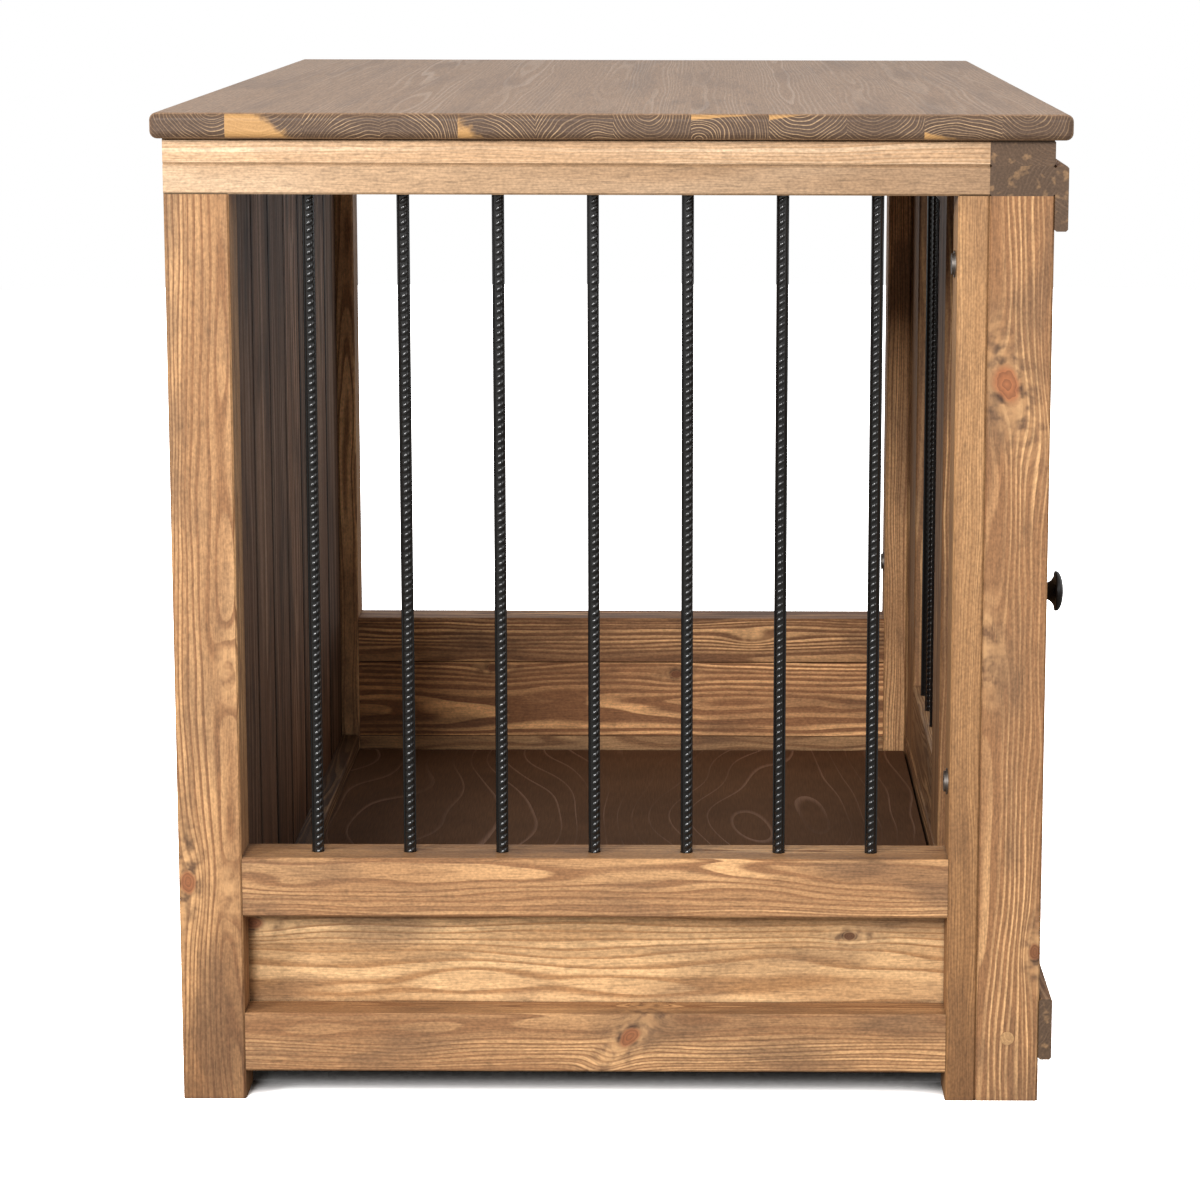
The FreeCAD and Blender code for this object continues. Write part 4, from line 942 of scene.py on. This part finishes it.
width = add(bar_tree, MATH, {0: entry["Rib reach"], 1: 2.0}, operation="MULTIPLY")
seam_size = add(bar_tree, "ShaderNodeCombineXYZ", {"X": width, "Y": entry["Seam width"],
                                                   "Z": entry["Length"]})
seam = add(bar_tree, "GeometryNodeMeshCube", {"Size": seam_size})
middle = add(bar_tree, VECTOR, {0: top, "Scale": 0.5}, operation="SCALE")
seam = add(bar_tree, "GeometryNodeTransform", {"Geometry": seam, "Translation": middle})
whole = add(bar_tree, "GeometryNodeJoinGeometry")
for piece in (seam, smooth):
    bar_tree.links.new(piece.outputs[0], whole.inputs[0])

least = add(bar_tree, MATH, {0: entry["Turn spread"], 1: -1.0}, operation="MULTIPLY")
turn = add(bar_tree, "FunctionNodeRandomValue", {2: least, 3: entry["Turn spread"],
                                                 "Seed": entry["Turn seed"]}, data_type="FLOAT")
turned = add(bar_tree, "ShaderNodeCombineXYZ", {"Z": turn.outputs[1]})
rotation = add(bar_tree, "FunctionNodeEulerToRotation", {0: turned})
standing = add(bar_tree, "GeometryNodeInstanceOnPoints", {"Points": entry["Feet"], "Instance": whole,
                                                          "Rotation": rotation})
real = add(bar_tree, "GeometryNodeRealizeInstances", {"Geometry": standing})
painted = add(bar_tree, "GeometryNodeSetMaterial", {"Geometry": real, "Material": entry["Steel"]})
add(bar_tree, "NodeGroupOutput", {"Bars": painted})
print("ribbed bar tree:", len(bar_tree.nodes), "nodes")

# %% [markdown]
# ## Black paint on steel
#
# The bars are sprayed black over the mill's skin. The paint fills the corners of the ribs a little and
# shines on each crest as one bright fleck, so it is a near-black dielectric, smooth but not mirror-like.

# %% Bars of the near end and of both doors
FILM_PATCH = 4 * MM
FILM_RANGE = (0.3, 0.7)
FILM_BUMP, FILM_RELIEF = 0.15, 0.2 * MM


def black_finish(name, thin, thick, specular, roughness):
    """Black coating whose film varies in millimetre patches, in colour and in gloss."""
    material = bpy.data.materials.new(name)
    material.use_nodes = True
    tree = material.node_tree
    where = add(tree, "ShaderNodeTexCoord").outputs
    film = add(tree, NOISE, {"Vector": where["Object"], "Scale": 1 / FILM_PATCH, "Detail": 3.0})
    colour = add(tree, MIX, {MIX_FACTOR: film, MIX_A: linear(thin), MIX_B: linear(thick)},
                 data_type="RGBA")
    gloss = add(tree, RANGE, {"Value": film, "From Min": FILM_RANGE[0], "From Max": FILM_RANGE[1],
                              "To Min": roughness[0], "To Max": roughness[1]})
    relief = add(tree, "ShaderNodeBump", {"Height": film, "Strength": FILM_BUMP, "Distance": FILM_RELIEF})
    shader = tree.nodes["Principled BSDF"].inputs
    shader["Specular IOR Level"].default_value = specular
    tree.links.new(colour.outputs[MIX_RESULT], shader["Base Color"])
    tree.links.new(gloss.outputs[0], shader["Roughness"])
    tree.links.new(relief.outputs[0], shader["Normal"])
    return material


# Neutral soft black, with flecks of light on the ribs
black_paint = black_finish("black_painted_steel", "#191817", "#0f0e0e", 0.50, (0.16, 0.24))

BAR_SIZES = {
    "Core radius": 4.0 * MM, "Rib reach": 4.7 * MM, "Rib thickness": 2.5 * MM, "Rib pitch": 5.45 * MM,
    "Rib rise": 9.5 * MM, "Seam width": 1.4 * MM, "Turn spread": math.radians(38),
}
DOOR_BARS = 4


def stand_bars(name, feet, length, seed, body, nodes):
    """Ribbed bars on foot points, as one plain mesh that rides its body and stands for the CAD bars."""
    mesh = bpy.data.meshes.new(name + "_feet")
    mesh.from_pydata(feet, [], [])
    piece = put(name, mesh)
    modifier = piece.modifiers.new("ribbed_bars", "NODES")
    modifier.node_group = bar_tree
    for socket, value in {**BAR_SIZES, "Length": length, "Turn seed": seed, "Steel": black_paint}.items():
        modifier[bar_sockets[socket]] = value
    finished = piece.evaluated_get(bpy.context.evaluated_depsgraph_get())
    solid = bpy.data.meshes.new_from_object(finished)
    piece.modifiers.clear()
    piece.data = solid
    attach(piece, body)
    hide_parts(*nodes)
    print(name, len(feet), "bars,", len(solid.polygons), "faces")


near_bars = sorted(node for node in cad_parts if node.startswith("near_end_bar_"))
feet = []
for node in near_bars:
    low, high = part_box(node)
    feet.append(((low.x + high.x) / 2, (low.y + high.y) / 2, low.z))
stand_bars("near_end_ribbed_bars", feet, high.z - low.z, 3, "crate_frame", near_bars)

for seed, door in enumerate(("outer_door", "inner_door"), 5):
    low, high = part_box(door + "_bars")
    first, last = low.y + BAR_SIZES["Rib reach"], high.y - BAR_SIZES["Rib reach"]
    pitch = (last - first) / (DOOR_BARS - 1)
    feet = [((low.x + high.x) / 2, first + index * pitch, low.z) for index in range(DOOR_BARS)]
    stand_bars(door + "_ribbed_bars", feet, high.z - low.z, seed, door, [door + "_bars"])

# %% [markdown]
# ## The door knob
#
# A turned knob is a profile spun about its axis, as on a lathe: a foot, a slim neck, a flare and a cap
# with a low dome. The CAD knob turns the dome in straight steps. Here the dome is a quarter of an
# ellipse and the hollow under the cap another, so that the highlight runs round without a break.

# %% Knob
KNOB_STEPS = 48
KNOB_ARC_POINTS = 10
FOOT_RADIUS, FOOT_THICKNESS = 8.5 * MM, 2.0 * MM
NECK_RADIUS, NECK_END = 6.0 * MM, 9.0 * MM
RIM_START, RIM_END = 18.0 * MM, 19.5 * MM

low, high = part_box("outer_door_knob")
knob_tip = high.x
rim_radius = (high.z - low.z) / 2
foot_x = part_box("outer_door_near_stile")[1].x
projection = knob_tip - foot_x
dome_height = projection - RIM_END
profile = [(0.0, 0.0), (0.0, FOOT_RADIUS), (FOOT_THICKNESS, FOOT_RADIUS), (FOOT_THICKNESS, NECK_RADIUS)]
for step in range(KNOB_ARC_POINTS + 1):
    turn = math.pi / 2 * step / KNOB_ARC_POINTS
    profile.append((NECK_END + (RIM_START - NECK_END) * math.sin(turn),
                    NECK_RADIUS + (rim_radius - NECK_RADIUS) * (1 - math.cos(turn))))
for step in range(KNOB_ARC_POINTS + 1):
    turn = math.pi / 2 * (1 - step / KNOB_ARC_POINTS)
    profile.append((RIM_END + dome_height * math.cos(turn), rim_radius * math.sin(turn)))

shape = bmesh.new()
centre = Vector((foot_x, (low.y + high.y) / 2, (low.z + high.z) / 2))
rows = [shape.verts.new(centre + Vector((along, 0, radius))) for along, radius in profile]
edges = [shape.edges.new(pair) for pair in zip(rows, rows[1:])]
bmesh.ops.spin(shape, geom=rows + edges, cent=centre, axis=(1, 0, 0), angle=math.tau, steps=KNOB_STEPS)
bmesh.ops.remove_doubles(shape, verts=shape.verts, dist=0.01 * MM)
bmesh.ops.recalc_face_normals(shape, faces=shape.faces)
for face in shape.faces:
    face.smooth = True
knob_mesh = bpy.data.meshes.new("turned_knob")
shape.to_mesh(knob_mesh)
shape.free()
knob_piece = put("turned_knob", knob_mesh)

# Warm near-black with a broad, soft highlight
knob_mesh.materials.append(black_finish("black_lacquered_metal", "#1f1a17", "#151210", 0.25, (0.26, 0.38)))
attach(knob_piece, "outer_door")
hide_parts("outer_door_knob")
print("knob", round(projection / MM, 1), "mm proud, rim", round(2 * rim_radius / MM, 1), "mm across")
